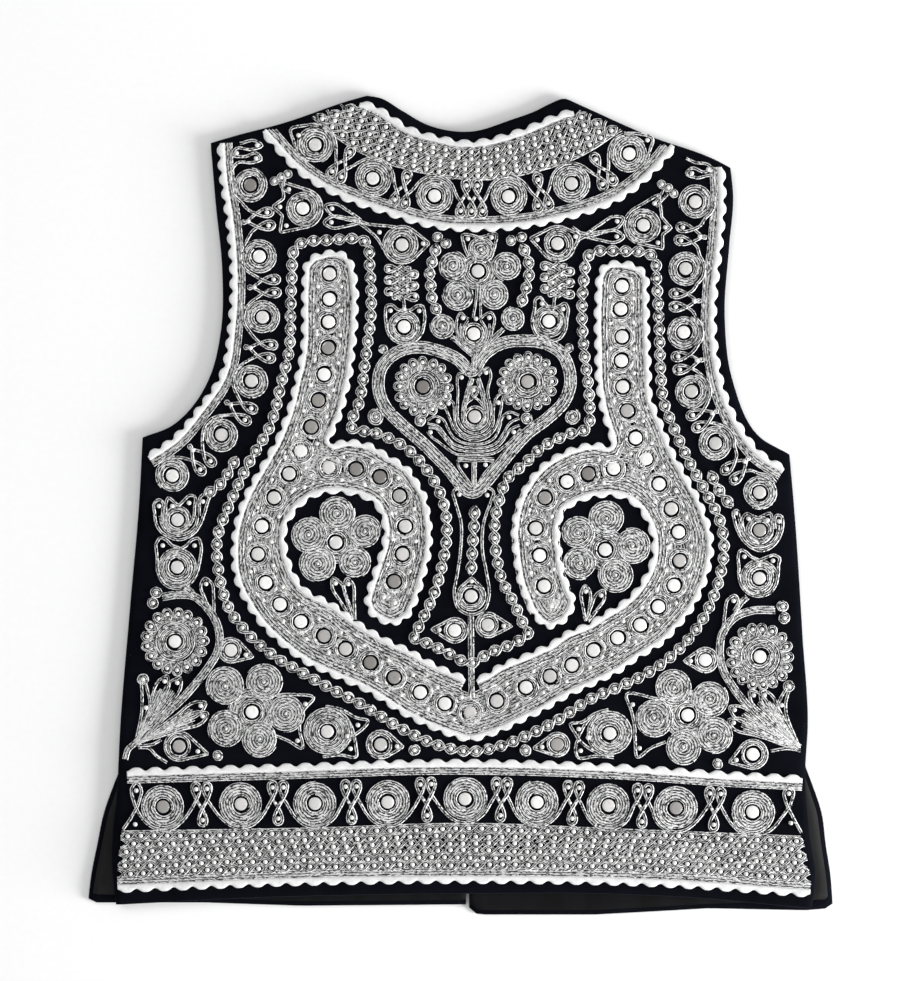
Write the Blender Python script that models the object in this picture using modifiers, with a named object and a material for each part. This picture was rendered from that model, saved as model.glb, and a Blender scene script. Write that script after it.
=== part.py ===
"""An embroidered velvet vest that lies face down: two fronts on the floor, the back over them,
and on the back the raised braid, cord bands and motifs that are couched to it.

Tables are in millimetres, X across, Y towards the neck, with the origin under the middle of the
vest's outline. Left and right are the wearer's, so the left side lies at -X.
"""

import math

import bmesh
import bpy
import numpy as np

MM = 0.001
COLLECTION = "embroidered_vest"

# Walls and the gap that separate pieces keep where they meet.
FRONT_THICK = 2.5
FACING_THICK = 1.0
BACK_THICK = 2.5
GAP = 0.3

# The back lies on the fronts at its seams and on their facings at its hem, and swells between.
SEAM_HEIGHT = FRONT_THICK + GAP
FACING_STEP = FACING_THICK + GAP
STEP_FROM_Y, STEP_TO_Y = -90.0, -190.0
PUFF = 1.3
PUFF_HALF_WIDTH = 262.0
HEM_Y = -306.0
SHOULDER_REACH, SHOULDER_SLOPE = 340.0, 0.36
FADE = 130.0
RIPPLE = 0.45
RIPPLE_LENGTH = 250.0

# Seam and edge lines of the back, each from its hem end or its left end: x, y.
BACK_HEM = [(-265, -307), (-154, -301.5), (7, -298.5), (107, -298.5), (177, -301.5), (270, -310)]
LEFT_SEAM = [(-265, -307), (-268, -273), (-264, -219), (-261.5, -169), (-254, -77), (-247, 4),
             (-244.5, 52)]
LEFT_ARMHOLE = [(-244.5, 52), (-222, 61), (-203, 80), (-193, 98), (-184, 135), (-183, 181),
                (-188, 232), (-192, 279)]
RIGHT_SEAM = [(270, -310), (273, -290), (268, -250), (265, -208), (267, -169), (263, -100),
              (257, -7), (253, 39)]
RIGHT_ARMHOLE = [(253, 39), (230, 52.5), (209, 96.5), (203, 146), (206.5, 200), (209.5, 241),
                 (207.5, 260)]
LEFT_SHOULDER = [(-192, 279), (-173, 284.5), (-137, 294), (-84, 312), (-72, 315.3)]
NECK = [(-72, 315.3), (-62, 313.5), (-46.5, 304.5), (-25, 292.5), (7, 287.5), (40, 297), (58, 303.5),
        (70, 309.5), (80, 313), (89, 309.5)]
RIGHT_SHOULDER = [(89, 309.5), (147.5, 283.5), (197, 265.5), (207.5, 260)]

# The fronts show past the back at the side vents and under its hem: x, y.
LEFT_VENT = [(-261.5, -200), (-267, -215), (-275, -238), (-280, -262), (-284.5, -284.5),
             (-286.8, -303)]
LEFT_FRONT_HEM = [(-284, -306), (-197, -306), (-124, -308.5), (4, -307.5)]
RIGHT_VENT = [(265, -198), (271, -215), (278.5, -238), (281.5, -262), (285, -284.5), (286.8, -307)]
RIGHT_FRONT_HEM = [(284, -310.5), (266, -312), (191, -310.5), (147, -313), (104, -315.3),
                   (13, -315.3), (7, -310)]
LEFT_FRONT_NECK = [(4, 150), (-22, 196), (-52, 252), (-74, 309)]
RIGHT_FRONT_NECK = [(7, 150), (34, 196), (62, 252), (83, 306)]
TUCK = 2.0
FACING_INSET, FACING_WIDTH = 3.5, 38.0

# Braid lines run along the tips of the scallops: x, y.
NECK_BRAID = [(-76.5, 313), (-64, 308.8), (-53.5, 302.3), (-44, 295.5), (-32, 289.8), (-18, 286), (4, 282),
              (43, 290), (75, 303), (86, 306)]
NET_EDGE = [(-110, 296.5), (-74, 271), (-43, 260), (-16, 254.5), (13, 251.5), (57, 257.5),
            (93, 270), (116, 286)]
YOKE_BRAID = [(-154, 285.4), (-124, 254), (-88, 233.5), (-60, 224), (-26, 213.7), (-13, 211.7), (18, 210.5),
              (75, 217.5), (128, 237), (163, 269)]
LEFT_ARM_BRAID = [(-188, 276), (-187, 260), (-181, 216), (-178, 172), (-180, 136), (-186, 102),
                  (-203, 76.5), (-222, 54), (-241, 40.5)]
RIGHT_ARM_BRAID = [(204, 258), (205, 236), (202.5, 201), (198, 165), (197.5, 140), (200, 112), (206, 86),
                   (218, 61), (233, 42), (249, 31)]
HEM_TOP_BRAID = [(-256, -202), (-150, -199), (0, -195), (120, -198.5), (200, -204), (261, -207.5)]
HEM_LOW_BRAID = [(-263, -298), (-120, -293), (7, -291.5), (150, -294), (268, -302)]
HEM_NET_TOP = [(-261, -251.5), (-112, -249), (7, -245.5), (114, -249.5), (263, -255.5)]

BRAID_WIDTH, SCALLOP_DEPTH, SCALLOP_PITCH = 5.5, 2.6, 13.2
BRAID_THICK = 1.6
CORD_BAND_WIDTH = 5.2
# How much of its line a band leaves out where it would pass over the shoulder's edge.
BAND_TRIM = {"yoke": 6.0}
CORD_THICK = 1.9
ROW_WAIST = 4.0
PART_GAP = 0.5

# Rows of coiled rosettes: x, y.
YOKE_ROSETTES = [(-112, 278), (-67.5, 252), (-20, 238.5), (37, 238), (85.5, 248), (130, 271)]
LEFT_ARM_ROSETTES = [(-160.5, 246.5), (-154, 192), (-152, 145), (-160, 96), (-183.5, 54.5), (-222, 23)]
RIGHT_ARM_ROSETTES = [(180.5, 234), (173, 182.5), (171.5, 133.5), (177.5, 88), (196, 48), (230.5, 10)]
HEM_ROSETTES = [(-229, -232), (-169, -230), (-112, -229.5), (-56, -228.5), (3.5, -226), (59, -228.5),
                (114, -231), (166, -233), (225, -236)]
YOKE_ROSETTE_RADIUS, ARM_ROSETTE_RADIUS, HEM_ROSETTE_RADIUS = 12.8, 12.6, 16.2

# Rows across the paisleys: one edge's x, y, then the other's. A long band runs from the top of its stem to
# its foot, where the two meet, and its tip curls from the stem round the flower.
PAISLEYS = {
    "paisley_left": [
        (-112, 194.5, -88, 195.5), (-122, 180, -80, 180), (-123, 141, -79, 141), (-127.5, 101, -83.5, 101),
        (-138, 64.5, -94, 62), (-150.5, 38.5, -104, 40), (-167, 9.5, -116, 12), (-175.5, -16, -132, -12),
        (-177, -38, -132.5, -37.5), (-171, -67.5, -125, -55), (-150, -97, -112, -67),
        (-117.5, -124, -89, -81), (-73, -144.4, -50.5, -104.5), (-31, -169.2, -17.5, -121.5),
        (7.75, -182.8, 7.75, -132),
    ],
    "paisley_tip_left": [
        (-97, 50, -108.5, 8), (-78, 50.5, -88.5, 8), (-57.5, 41.5, -74, 4), (-38, 28.5, -64, -5),
        (-26, 9, -60, -14.5), (-21.5, -16, -61, -24), (-22.5, -39, -63, -36), (-29, -63.5, -70, -56.5),
        (-35.5, -80, -74.5, -74), (-50, -92.5, -66, -88.5),
    ],
    "paisley_right": [
        (133, 188, 114, 187.5), (145, 176, 105, 176), (146, 141, 102.5, 141), (147.5, 101, 103.5, 101),
        (153, 71, 108.5, 66), (166.5, 39.5, 119, 40), (181, 14, 130, 10), (192, -13, 143, -13),
        (195.5, -36, 146.5, -36), (188, -65, 139, -56), (168, -95.5, 124, -73), (125, -128, 98, -89.5),
        (80, -150.5, 58.5, -109.5), (38, -172.5, 28, -122.5), (8.25, -182.8, 8.25, -132),
    ],
    "paisley_tip_right": [
        (112, 47.5, 120.5, 6), (94.5, 48, 102, 4.5), (72.5, 39.5, 88, -1), (55, 25, 79.5, -9),
        (44.5, 8, 77.2, -17), (39, -15, 77, -24.5), (39.5, -35, 78.8, -37), (43, -57, 82, -54),
        (50.5, -79, 89.5, -74), (62, -93.5, 80, -91),
    ],
}

HEART = [(8, 103.5), (-2, 112.5), (-15, 118.5), (-32, 122), (-49, 118), (-61, 106), (-63, 89), (-58, 76),
         (-46, 63), (-29, 48), (-12, 31), (9.5, 10), (27, 27), (39, 42), (51, 55), (68, 68), (80, 80.5),
         (84.5, 93), (83, 107), (78, 117), (66, 124.5), (48, 127), (31, 124.5), (19, 117)]
HEART_HALF = 4.4

# The twisted chain runs once round both paisleys, from the foot up the left side: x, y.
CHAIN = [(7, -189.3), (-14, -185.5), (-45, -172), (-62, -162), (-80, -151), (-98, -142), (-118, -131),
         (-147, -113.5), (-163, -99.5), (-178, -80), (-186, -53.5), (-187, -23.5), (-177, 3),
         (-163, 33), (-146, 63), (-138, 95), (-132, 120), (-131, 149), (-130, 176), (-127, 199),
         (-100, 204.5), (-72, 202), (-70, 184), (-69, 149), (-73, 115), (-78, 80), (-84, 60), (-66, 56),
         (-43, 45), (-25, 26), (-14, 5), (-10.5, -20), (-14, -45), (-20, -67), (-32, -93), (-36, -101),
         (-23, -107), (-7, -115), (7, -121.5), (22, -113.5), (43, -105), (52, -99), (48, -90.5),
         (40, -73), (32.5, -59), (28, -41), (27, -7.5), (30.5, 6.5), (36, 20.5), (48, 31), (64, 45.5),
         (82, 54.5), (98, 60), (99.5, 74), (98, 96), (95, 120.5), (93.5, 152), (95, 174), (99, 193),
         (123, 196), (149, 191), (151, 173), (153, 138), (154, 106), (156, 82), (165, 58), (177.5, 31),
         (191, 6.5), (200, -12.5), (203, -34), (200, -53.5), (193, -75), (181, -96), (163, -115.5),
         (145.5, -128), (121, -140), (100, -149), (75, -165), (50, -177.5), (28, -186)]
CHAIN_HALF = 3.6

# Five-petalled flowers: x, y, petal ring radius, petal radius, angle of the first petal.
FLOWERS = {
    "flower_left": (-96, -28, 21.5, 12.5, 90),
    "flower_right": (112, -33, 21.5, 12.5, 90),
    "corner_flower_left": (-160, -160, 23.5, 13.0, 70),
    "corner_flower_right": (175, -162, 23.5, 13.0, 36),
    "neck_flower": (13.5, 179, 19.0, 11.5, 88),
}
# Round flowers with a ring of small loops: x, y, radius.
ROUND_FLOWERS = {
    "heart_flower_left": (-29, 91, 23.0),
    "heart_flower_right": (51.5, 95.3, 23.0),
    "side_flower_left": (-220, -104.8, 26.5),
    "side_flower_right": (231, -116.5, 26.5),
}
# Coiled mirrors with a pointed side: x, y, radius, angle of the point, reach of the point.
DROPS = {
    "bird_left": (-121, 228, 13.0, 175, 19),
    "bird_right": (140.5, 215, 12.5, 20, 18),
    "neck_drop_left": (-46, 200, 12.5, -5, 19),
    "neck_drop_right": (75, 200, 12.5, 170, 19),
    "side_drop_left": (-177, -112, 8.5, -30, 14),
    "side_drop_right": (189, -118, 8.5, 165, 13),
    "low_drop_left": (-216, -181, 11.0, -15, 20),
    "low_drop_right": (227, -189, 10.5, 195, 16),
    "fish_left": (-102.5, -174, 18.0, 8, 27),
    "fish_right": (115, -175.5, 17.0, 170, 27),
    "leaf_left": (-5, -96, 9.0, 180, 18),
    "leaf_right": (21, -94, 9.0, 0, 18),
    "axis_mirror": (8.5, -69, 10.5, 90, 13),
}
# Tulips, open upwards: x, y, radius.
TULIPS = {
    "side_tulip_left_1": (-218, -10, 15.5),
    "side_tulip_left_2": (-217.5, -47, 15.5),
    "side_tulip_right_1": (231, -18, 13.5),
    "side_tulip_right_2": (231, -56, 15.5),
    "neck_tulip_left": (-43, 140, 10.5),
    "neck_tulip_right": (68, 145, 10.5),
    "heart_vase": (11, 62, 17.0),
    "neck_vase": (10.5, 132.5, 8.5),
}

VELVET = ("black_velvet", (0.011, 0.011, 0.015), 0.95, 0.0)
FACING_CLOTH = ("facing_cloth", (0.020, 0.016, 0.014), 0.85, 0.0)
BRAID = ("white_braid", (0.86, 0.86, 0.84), 0.70, 0.0)
CORD = ("silver_cord", (0.56, 0.56, 0.54), 0.45, 0.6)


def ease(share):
    """0 to 1 along a soft S."""
    share = min(1.0, max(0.0, share))
    return share * share * (3 - 2 * share)


def back_under(x, y):
    """Height of the back's inner face."""
    step = FACING_STEP * ease((STEP_FROM_Y - y) / (STEP_FROM_Y - STEP_TO_Y))
    across = max(0.0, 1 - (x / PUFF_HALF_WIDTH) ** 2)
    from_shoulder = ease((SHOULDER_REACH - y - SHOULDER_SLOPE * abs(x)) / FADE)
    from_hem = ease((y - HEM_Y) / FADE)
    wave = math.sin(2 * math.pi * (x + 0.35 * y) / RIPPLE_LENGTH)
    swell = (PUFF + RIPPLE * wave) * across * from_shoulder * from_hem
    return SEAM_HEIGHT + step + swell


def back_outer(x, y):
    """Height at which a piece lies on the back."""
    return back_under(x, y) + BACK_THICK + GAP


def lengths_along(line):
    steps = np.linalg.norm(np.diff(line, axis=0), axis=1)
    return np.concatenate([[0.0], np.cumsum(steps)])


def smooth_line(points, closed=False, finer=12):
    """A smooth curve through the points, as many short steps."""
    points = np.array(points, float)
    if closed:
        points = np.concatenate([points[-2:], points, points[:3]])
    knots = lengths_along(points)
    slopes = np.gradient(points, knots, axis=0)
    spans = range(2, len(points) - 3) if closed else range(len(points) - 1)
    fine = []
    for i in spans:
        t = np.linspace(0, 1, finer, endpoint=False)[:, None]
        reach = knots[i + 1] - knots[i]
        fine.append(
            (2 * t**3 - 3 * t**2 + 1) * points[i]
            + (t**3 - 2 * t**2 + t) * reach * slopes[i]
            + (3 * t**2 - 2 * t**3) * points[i + 1]
            + (t**3 - t**2) * reach * slopes[i + 1]
        )
    return np.concatenate(fine + [points[spans[-1] + 1][None]])


def at_lengths(line, where):
    """Places and left-hand normals at the given lengths along a line."""
    length = lengths_along(line)
    slope = np.gradient(line, length, axis=0)
    place = np.stack([np.interp(where, length, line[:, k]) for k in (0, 1)], axis=1)
    along = np.stack([np.interp(where, length, slope[:, k]) for k in (0, 1)], axis=1)
    along /= np.linalg.norm(along, axis=1)[:, None]
    return place, np.stack([-along[:, 1], along[:, 0]], axis=1)


def even_places(points, count):
    """count + 1 evenly spaced places along the curve through the points."""
    line = smooth_line(points)
    return at_lengths(line, np.linspace(0, lengths_along(line)[-1], count + 1))[0]


def offset_line(points, distance):
    """The curve through the points, moved to its left by the distance."""
    line = smooth_line(points)
    place, normal = at_lengths(line, lengths_along(line))
    return place + normal * distance


def finish_of(finish):
    name, colour, roughness, metallic = finish
    material = bpy.data.materials.get(name) or bpy.data.materials.new(name)
    material.use_nodes = True
    shader = material.node_tree.nodes["Principled BSDF"]
    shader.inputs["Base Color"].default_value = (*colour, 1)
    shader.inputs["Roughness"].default_value = roughness
    shader.inputs["Metallic"].default_value = metallic
    return material


def add_wall(name, places, faces, height, thick, finish, share=None):
    """A cloth piece: an open surface at the height function, thickened upwards.

    share gives each place's part of the thickness, for a crowned top over a plain underside.
    """
    mesh = bpy.data.meshes.new(name)
    points = [(x * MM, y * MM, height(x, y) * MM) for x, y in places]
    mesh.from_pydata(points, [], [list(face) for face in faces])
    sheet = bmesh.new()
    sheet.from_mesh(mesh)
    sheet.normal_update()
    bmesh.ops.reverse_faces(sheet, faces=[face for face in sheet.faces if face.normal.z < 0])
    sheet.to_mesh(mesh)
    sheet.free()
    mesh.materials.append(finish_of(finish))
    piece = bpy.data.objects.new(name, mesh)
    bpy.data.collections[COLLECTION].objects.link(piece)
    wall = piece.modifiers.new("wall", "SOLIDIFY")
    wall.thickness = thick * MM
    wall.offset = 1
    if share is not None:
        crown = piece.vertex_groups.new(name="crown")
        for index, weight in enumerate(share):
            crown.add([index], weight, "REPLACE")
        wall.vertex_group = crown.name
    return piece


def grid_faces(rows, across, closed=False):
    """Quads between successive rows of places, each row with so many across."""
    steps = range(rows if closed else rows - 1)
    for row in steps:
        here, there = row * across, (row + 1) % rows * across
        for k in range(across - 1):
            yield here + k, here + k + 1, there + k + 1, there + k


def add_strip(name, rows, thick, finish, height=back_outer, closed=False, crown=None):
    """A wall from rows of places across it; crown gives one row's shares of the thickness."""
    rows = np.array(rows)
    across = rows.shape[1]
    faces = grid_faces(len(rows), across, closed)
    share = None if crown is None else list(crown) * len(rows)
    return add_wall(name, rows.reshape(-1, 2), faces, height, thick, finish, share)


def level_at(height):
    return lambda x, y: height


def make_back():
    """The back, from its hem to its shoulders and neck, as one patch between its four sides."""
    hem = even_places(BACK_HEM, 18)
    top = np.concatenate([
        even_places(LEFT_SHOULDER, 5)[:-1],
        even_places(NECK, 8)[:-1],
        even_places(RIGHT_SHOULDER, 5),
    ])
    left = np.concatenate([even_places(LEFT_SEAM, 12)[:-1], even_places(LEFT_ARMHOLE, 14)])
    right = np.concatenate([even_places(RIGHT_SEAM, 12)[:-1], even_places(RIGHT_ARMHOLE, 14)])
    u = np.linspace(0, 1, len(hem))[None, :, None]
    v = np.linspace(0, 1, len(left))[:, None, None]
    ruled = (1 - v) * hem + v * top + (1 - u) * left[:, None] + u * right[:, None]
    corners = (1 - v) * ((1 - u) * hem[0] + u * hem[-1]) + v * ((1 - u) * top[0] + u * top[-1])
    add_strip("back_panel", ruled - corners, BACK_THICK, VELVET, height=back_under)


def tucked(points, side):
    """An edge of the back moved in, so that the front under it doesn't show."""
    return offset_line(points, side * TUCK)


def make_front(name, side, neck, seam, armhole, shoulder, vent, hem):
    """One front: up its opening and neckline, and down its shoulder, armhole, seam and vent."""
    above_vent = [point for point in tucked(seam, side)[::6] if point[1] > vent[0][1] + 8]
    outline = np.concatenate([
        even_places(neck, 4),
        tucked(shoulder, -side)[6:-6:12],
        tucked(armhole, side)[::-1][6:-5:9],
        above_vent[::-1],
        vent,
        hem,
    ])
    add_wall(name, outline, [range(len(outline))], level_at(0.0), FRONT_THICK, VELVET)


def make_facing(name, side, vent, hem):
    """The turned-in strip along a front's vent and hem, on the face that looks up."""
    outer_x, inner_x = side * FACING_INSET, side * (FACING_INSET + FACING_WIDTH)
    outer_y, inner_y = FACING_INSET, FACING_INSET + FACING_WIDTH
    (top_x, top_y), (corner_x, corner_y) = vent[0], vent[-1]
    beside_vent = [(top_x - outer_x, top_y + inner_y / 3)] + vent[:-1]
    rows = [[(x - outer_x, y), (x - inner_x, max(y, corner_y + inner_y))] for x, y in beside_vent]
    rows.append([(corner_x - outer_x, corner_y + outer_y), (corner_x - inner_x, corner_y + inner_y)])
    above_hem = [(x, y) for x, y in hem if abs(x) < abs(corner_x) - 1.3 * FACING_WIDTH]
    rows += [[(x, y + outer_y), (x, y + inner_y)] for x, y in above_hem]
    add_strip(name, rows, FACING_THICK, FACING_CLOTH, height=level_at(FRONT_THICK + GAP))


def make_braid(name, tips, side):
    """Scalloped braid along a line of tips, with its straight edge on the other side."""
    line = smooth_line(tips)
    whole = lengths_along(line)[-1]
    scallops = round(whole / SCALLOP_PITCH)
    pitch = whole / scallops
    starts = np.arange(scallops + 1) * pitch
    profile = [(0.0, BRAID_WIDTH), (0.0, SCALLOP_DEPTH), (0.25, 0.0), (0.75, 0.0)]
    places = []
    for part, inward in profile:
        place, normal = at_lengths(line, np.minimum(starts + part * pitch, whole))
        places.append(place - side * inward * normal)
    rows = np.stack(places, axis=1)
    faces = []
    for row in range(scallops):
        inner, valley, rise, fall = range(4 * row, 4 * row + 4)
        faces.append([inner, valley, rise, fall, valley + 4, inner + 4])
    used = sorted({index for face in faces for index in face})
    order = {old: new for new, old in enumerate(used)}
    flat = rows.reshape(-1, 2)[used]
    add_wall(name, flat, [[order[i] for i in face] for face in faces], back_outer, BRAID_THICK, BRAID)


def make_band(name, tips, side, start, width, trim, step=18.0):
    """A band of couched cord that runs beside a braid, from start millimetres inside its tips."""
    outer = offset_line(tips, -side * start)
    inner = offset_line(tips, -side * (start + width))
    lengths = lengths_along(outer)
    first = np.searchsorted(lengths, trim)
    count = round(lengths[-1] / step)
    picks = np.linspace(first, len(outer) - 1, count + 1).round().astype(int)
    add_strip(name, np.stack([outer[picks], inner[picks]], axis=1), CORD_THICK, CORD)


def make_net(name, upper, lower, count=20):
    """A wide band of knotted cord between two edges."""
    picks = np.linspace(0, 1, count + 1)
    edges = []
    for line in (upper, lower):
        edges.append(at_lengths(line, picks * lengths_along(line)[-1])[0])
    middle = (edges[0] + edges[1]) / 2
    rows = np.stack([edges[0], middle, edges[1]], axis=1)
    add_strip(name, rows, CORD_THICK, CORD)


def make_rosette_row(name, centres, radius):
    """Coiled rosettes on one line of cord, each a low crown, joined by narrow knots."""
    centres = np.array(centres, float)
    along = np.gradient(centres, axis=0)
    along /= np.linalg.norm(along, axis=1)[:, None]
    rows = []
    for i, centre in enumerate(centres):
        for degrees in (140, 90, 40):
            turn = math.radians(degrees)
            middle = centre + along[i] * radius * math.cos(turn)
            half = np.array([-along[i][1], along[i][0]]) * radius * math.sin(turn)
            rows.append([middle + half, middle, middle - half])
        if i + 1 < len(centres):
            step = centres[i + 1] - centre
            half = np.array([-step[1], step[0]]) / np.linalg.norm(step) * ROW_WAIST
            middle = centre + step / 2
            rows.append([middle + half, middle, middle - half])
    add_strip(name, rows, CORD_THICK, CORD, crown=(0.6, 1.0, 0.6))


def paisley_rows(table):
    """Rows across a broad band that has scalloped braid along both edges, smooth through the table's."""
    rows = smooth_line(table, finer=9).reshape(-1, 2, 2)
    across = rows[:, 1] - rows[:, 0]
    across /= np.linalg.norm(across, axis=1)[:, None]
    valley = np.arange(len(rows)) % 3 == 0
    pinch = across * np.where(valley, SCALLOP_DEPTH, 0.0)[:, None]
    return rows + np.stack([pinch, -pinch], axis=1)


def make_ring(name, points, half, finer, every):
    """A closed band of couched cord round the points."""
    line = smooth_line(points, closed=True, finer=finer)[:-1]
    ring = np.concatenate([line[-1:], line, line[:1]])
    along = ring[2:] - ring[:-2]
    along /= np.linalg.norm(along, axis=1)[:, None]
    normal = np.stack([-along[:, 1], along[:, 0]], axis=1)
    rows = np.stack([line + normal * half, line - normal * half], axis=1)[::every]
    add_strip(name, rows, CORD_THICK, CORD, closed=True)


def add_motif(name, x, y, radius_at, count):
    """A motif on the back: a crowned plate whose outline is a radius for each angle."""
    places, share = [(x, y)], [1.0]
    for k in range(count):
        turn = 2 * math.pi * k / count
        reach = radius_at(math.degrees(turn))
        places.append((x + reach * math.cos(turn), y + reach * math.sin(turn)))
        share.append(0.7)
    faces = [(0, k + 1, (k + 1) % count + 1) for k in range(count)]
    add_wall(name, places, faces, back_outer, CORD_THICK, CORD, share)


def turned(angle, towards):
    """How far an angle is from another, from -180 to 180 degrees."""
    return (angle - towards + 180) % 360 - 180


def add_flowers():
    for name, (x, y, ring, petal, first) in FLOWERS.items():
        def petal_edge(angle, ring=ring, petal=petal, first=first):
            off = math.radians((angle - first + 36) % 72 - 36)
            side = ring * math.sin(off)
            return ring * math.cos(off) + math.sqrt(max(petal**2 - side**2, 0))
        add_motif(name, x, y, petal_edge, 25)
    for name, (x, y, radius) in ROUND_FLOWERS.items():
        def loop_edge(angle, radius=radius):
            return radius * (1 - 0.09 * (round(angle / 12) % 2))
        add_motif(name, x, y, loop_edge, 30)


def add_drops_and_tulips():
    for name, (x, y, radius, towards, tip) in DROPS.items():
        def drop_edge(angle, radius=radius, towards=towards, tip=tip):
            near = max(0.0, 1 - abs(turned(angle, towards)) / 36)
            return radius + (tip - radius) * near
        add_motif(name, x, y, drop_edge, 16)
    for name, (x, y, radius) in TULIPS.items():
        def cup_edge(angle, radius=radius):
            horn = min(abs(turned(angle, 45)), abs(turned(angle, 135)))
            return radius * (1.3 if horn < 10 else 1.0)
        add_motif(name, x, y, cup_edge, 16)


def main():
    for old in list(bpy.data.objects):
        bpy.data.objects.remove(old)
    scene = bpy.context.scene
    scene.collection.children.link(bpy.data.collections.new(COLLECTION))

    make_front("front_left", -1, LEFT_FRONT_NECK, LEFT_SEAM, LEFT_ARMHOLE, LEFT_SHOULDER[::-1],
               LEFT_VENT, LEFT_FRONT_HEM)
    make_front("front_right", 1, RIGHT_FRONT_NECK, RIGHT_SEAM, RIGHT_ARMHOLE, RIGHT_SHOULDER,
               RIGHT_VENT, RIGHT_FRONT_HEM)
    make_facing("facing_left", -1, LEFT_VENT, LEFT_FRONT_HEM)
    make_facing("facing_right", 1, RIGHT_VENT, RIGHT_FRONT_HEM)
    make_back()

    band_start = BRAID_WIDTH + PART_GAP
    braids = {
        "neck": (NECK_BRAID, 1), "yoke": (YOKE_BRAID, -1),
        "armhole_left": (LEFT_ARM_BRAID, -1), "armhole_right": (RIGHT_ARM_BRAID, 1),
        "hem_top": (HEM_TOP_BRAID, 1), "hem_low": (HEM_LOW_BRAID, -1),
    }
    for place, (tips, side) in braids.items():
        make_braid(f"braid_{place}", tips, side)
    for place in ("yoke", "armhole_left", "armhole_right", "hem_top"):
        make_band(f"cords_{place}", *braids[place], band_start, CORD_BAND_WIDTH, BAND_TRIM.get(place, 0.0))
    make_net("net_neck", offset_line(NECK_BRAID, -band_start), smooth_line(NET_EDGE))
    make_net("net_hem", smooth_line(HEM_NET_TOP), offset_line(HEM_LOW_BRAID, band_start))

    make_rosette_row("rosettes_yoke", YOKE_ROSETTES, YOKE_ROSETTE_RADIUS)
    make_rosette_row("rosettes_armhole_left", LEFT_ARM_ROSETTES, ARM_ROSETTE_RADIUS)
    make_rosette_row("rosettes_armhole_right", RIGHT_ARM_ROSETTES, ARM_ROSETTE_RADIUS)
    make_rosette_row("rosettes_hem", HEM_ROSETTES, HEM_ROSETTE_RADIUS)
    for name, table in PAISLEYS.items():
        add_strip(name, paisley_rows(table), CORD_THICK, CORD)
    make_ring("heart", HEART, HEART_HALF, 4, 2)
    make_ring("chain", CHAIN, CHAIN_HALF, 2, 2)
    add_flowers()
    add_drops_and_tulips()


main()
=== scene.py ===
"""The looks of the embroidered velvet vest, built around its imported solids.

The vest lies face down on the floor, so its back is up. Tables are in millimetres in the solids' own
frame: X across, Y towards the neck, the origin under the middle of the outline, the wearer's left at -X.
"""

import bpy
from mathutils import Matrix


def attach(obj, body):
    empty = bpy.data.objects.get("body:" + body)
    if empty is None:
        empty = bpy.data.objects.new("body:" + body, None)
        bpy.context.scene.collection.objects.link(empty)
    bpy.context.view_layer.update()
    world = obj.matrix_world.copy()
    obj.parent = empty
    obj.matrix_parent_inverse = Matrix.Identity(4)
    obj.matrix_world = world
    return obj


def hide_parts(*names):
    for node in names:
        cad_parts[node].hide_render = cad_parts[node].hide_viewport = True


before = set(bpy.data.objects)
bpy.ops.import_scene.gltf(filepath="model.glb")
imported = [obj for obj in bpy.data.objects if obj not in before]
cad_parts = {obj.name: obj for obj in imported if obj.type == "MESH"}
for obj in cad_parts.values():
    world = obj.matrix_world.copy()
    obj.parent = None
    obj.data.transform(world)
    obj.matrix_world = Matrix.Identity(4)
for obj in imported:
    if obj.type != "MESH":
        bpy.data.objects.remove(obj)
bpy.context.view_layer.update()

import math

import bpy
import numpy as np
from mathutils import Vector

MM = 0.001
TURN = 2 * math.pi
rng = np.random.default_rng(20)

# The cloths' heights, as the solids have them. The back steps up over the facings, swells in the middle and
# ripples a little, and this fades towards the shoulders and the hem.
FRONT_THICK, FACING_THICK, BACK_THICK, GAP = 2.5, 1.0, 2.5, 0.3
SEAM_HEIGHT = FRONT_THICK + GAP
FACING_STEP = FACING_THICK + GAP
STEP_FROM_Y, STEP_TO_Y = -90.0, -190.0
PUFF, PUFF_HALF_WIDTH = 1.3, 262.0
RIPPLE, RIPPLE_LENGTH, RIPPLE_SLANT = 0.45, 250.0, 0.35
HEM_Y, SHOULDER_REACH, SHOULDER_SLOPE, FADE = -306.0, 340.0, 0.36, 130.0

# Soft creases of the back: from x, y, to x, y, half width, height.
CREASES = [
    (-165, 60, -215, -40, 14, 0.5), (176, 50, 222, -60, 14, 0.5), (-60, -195, -120, -262, 16, 0.5),
    (90, -190, 150, -268, 16, 0.5), (-30, 60, 70, 40, 20, -0.5), (-205, -130, -240, -190, 12, 0.45),
    (215, -140, 248, -200, 12, 0.45), (-90, 215, 110, 222, 13, -0.4),
]

# Edge lines of the back.
BACK_HEM = [(-265, -307), (-154, -301.5), (7, -298.5), (107, -298.5), (177, -301.5), (270, -310)]
LEFT_SEAM = [(-265, -307), (-268, -273), (-264, -219), (-261.5, -169), (-254, -77), (-247, 4), (-244.5, 52)]
LEFT_ARMHOLE = [
    (-244.5, 52), (-222, 61), (-203, 80), (-193, 98), (-184, 135), (-183, 181), (-188, 232), (-192, 279),
]
RIGHT_SEAM = [
    (270, -310), (273, -290), (268, -250), (265, -208), (267, -169), (263, -100), (257, -7), (253, 39),
]
RIGHT_ARMHOLE = [(253, 39), (230, 52.5), (209, 96.5), (203, 146), (206.5, 200), (209.5, 241), (207.5, 260)]
LEFT_SHOULDER = [(-192, 279), (-173, 284.5), (-137, 294), (-84, 312), (-72, 315.3)]
NECK = [
    (-72, 315.3), (-62, 313.5), (-46.5, 304.5), (-25, 292.5), (7, 287.5), (40, 297), (58, 303.5),
    (70, 309.5), (80, 313), (89, 309.5),
]
RIGHT_SHOULDER = [(89, 309.5), (147.5, 283.5), (197, 265.5), (207.5, 260)]

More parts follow.
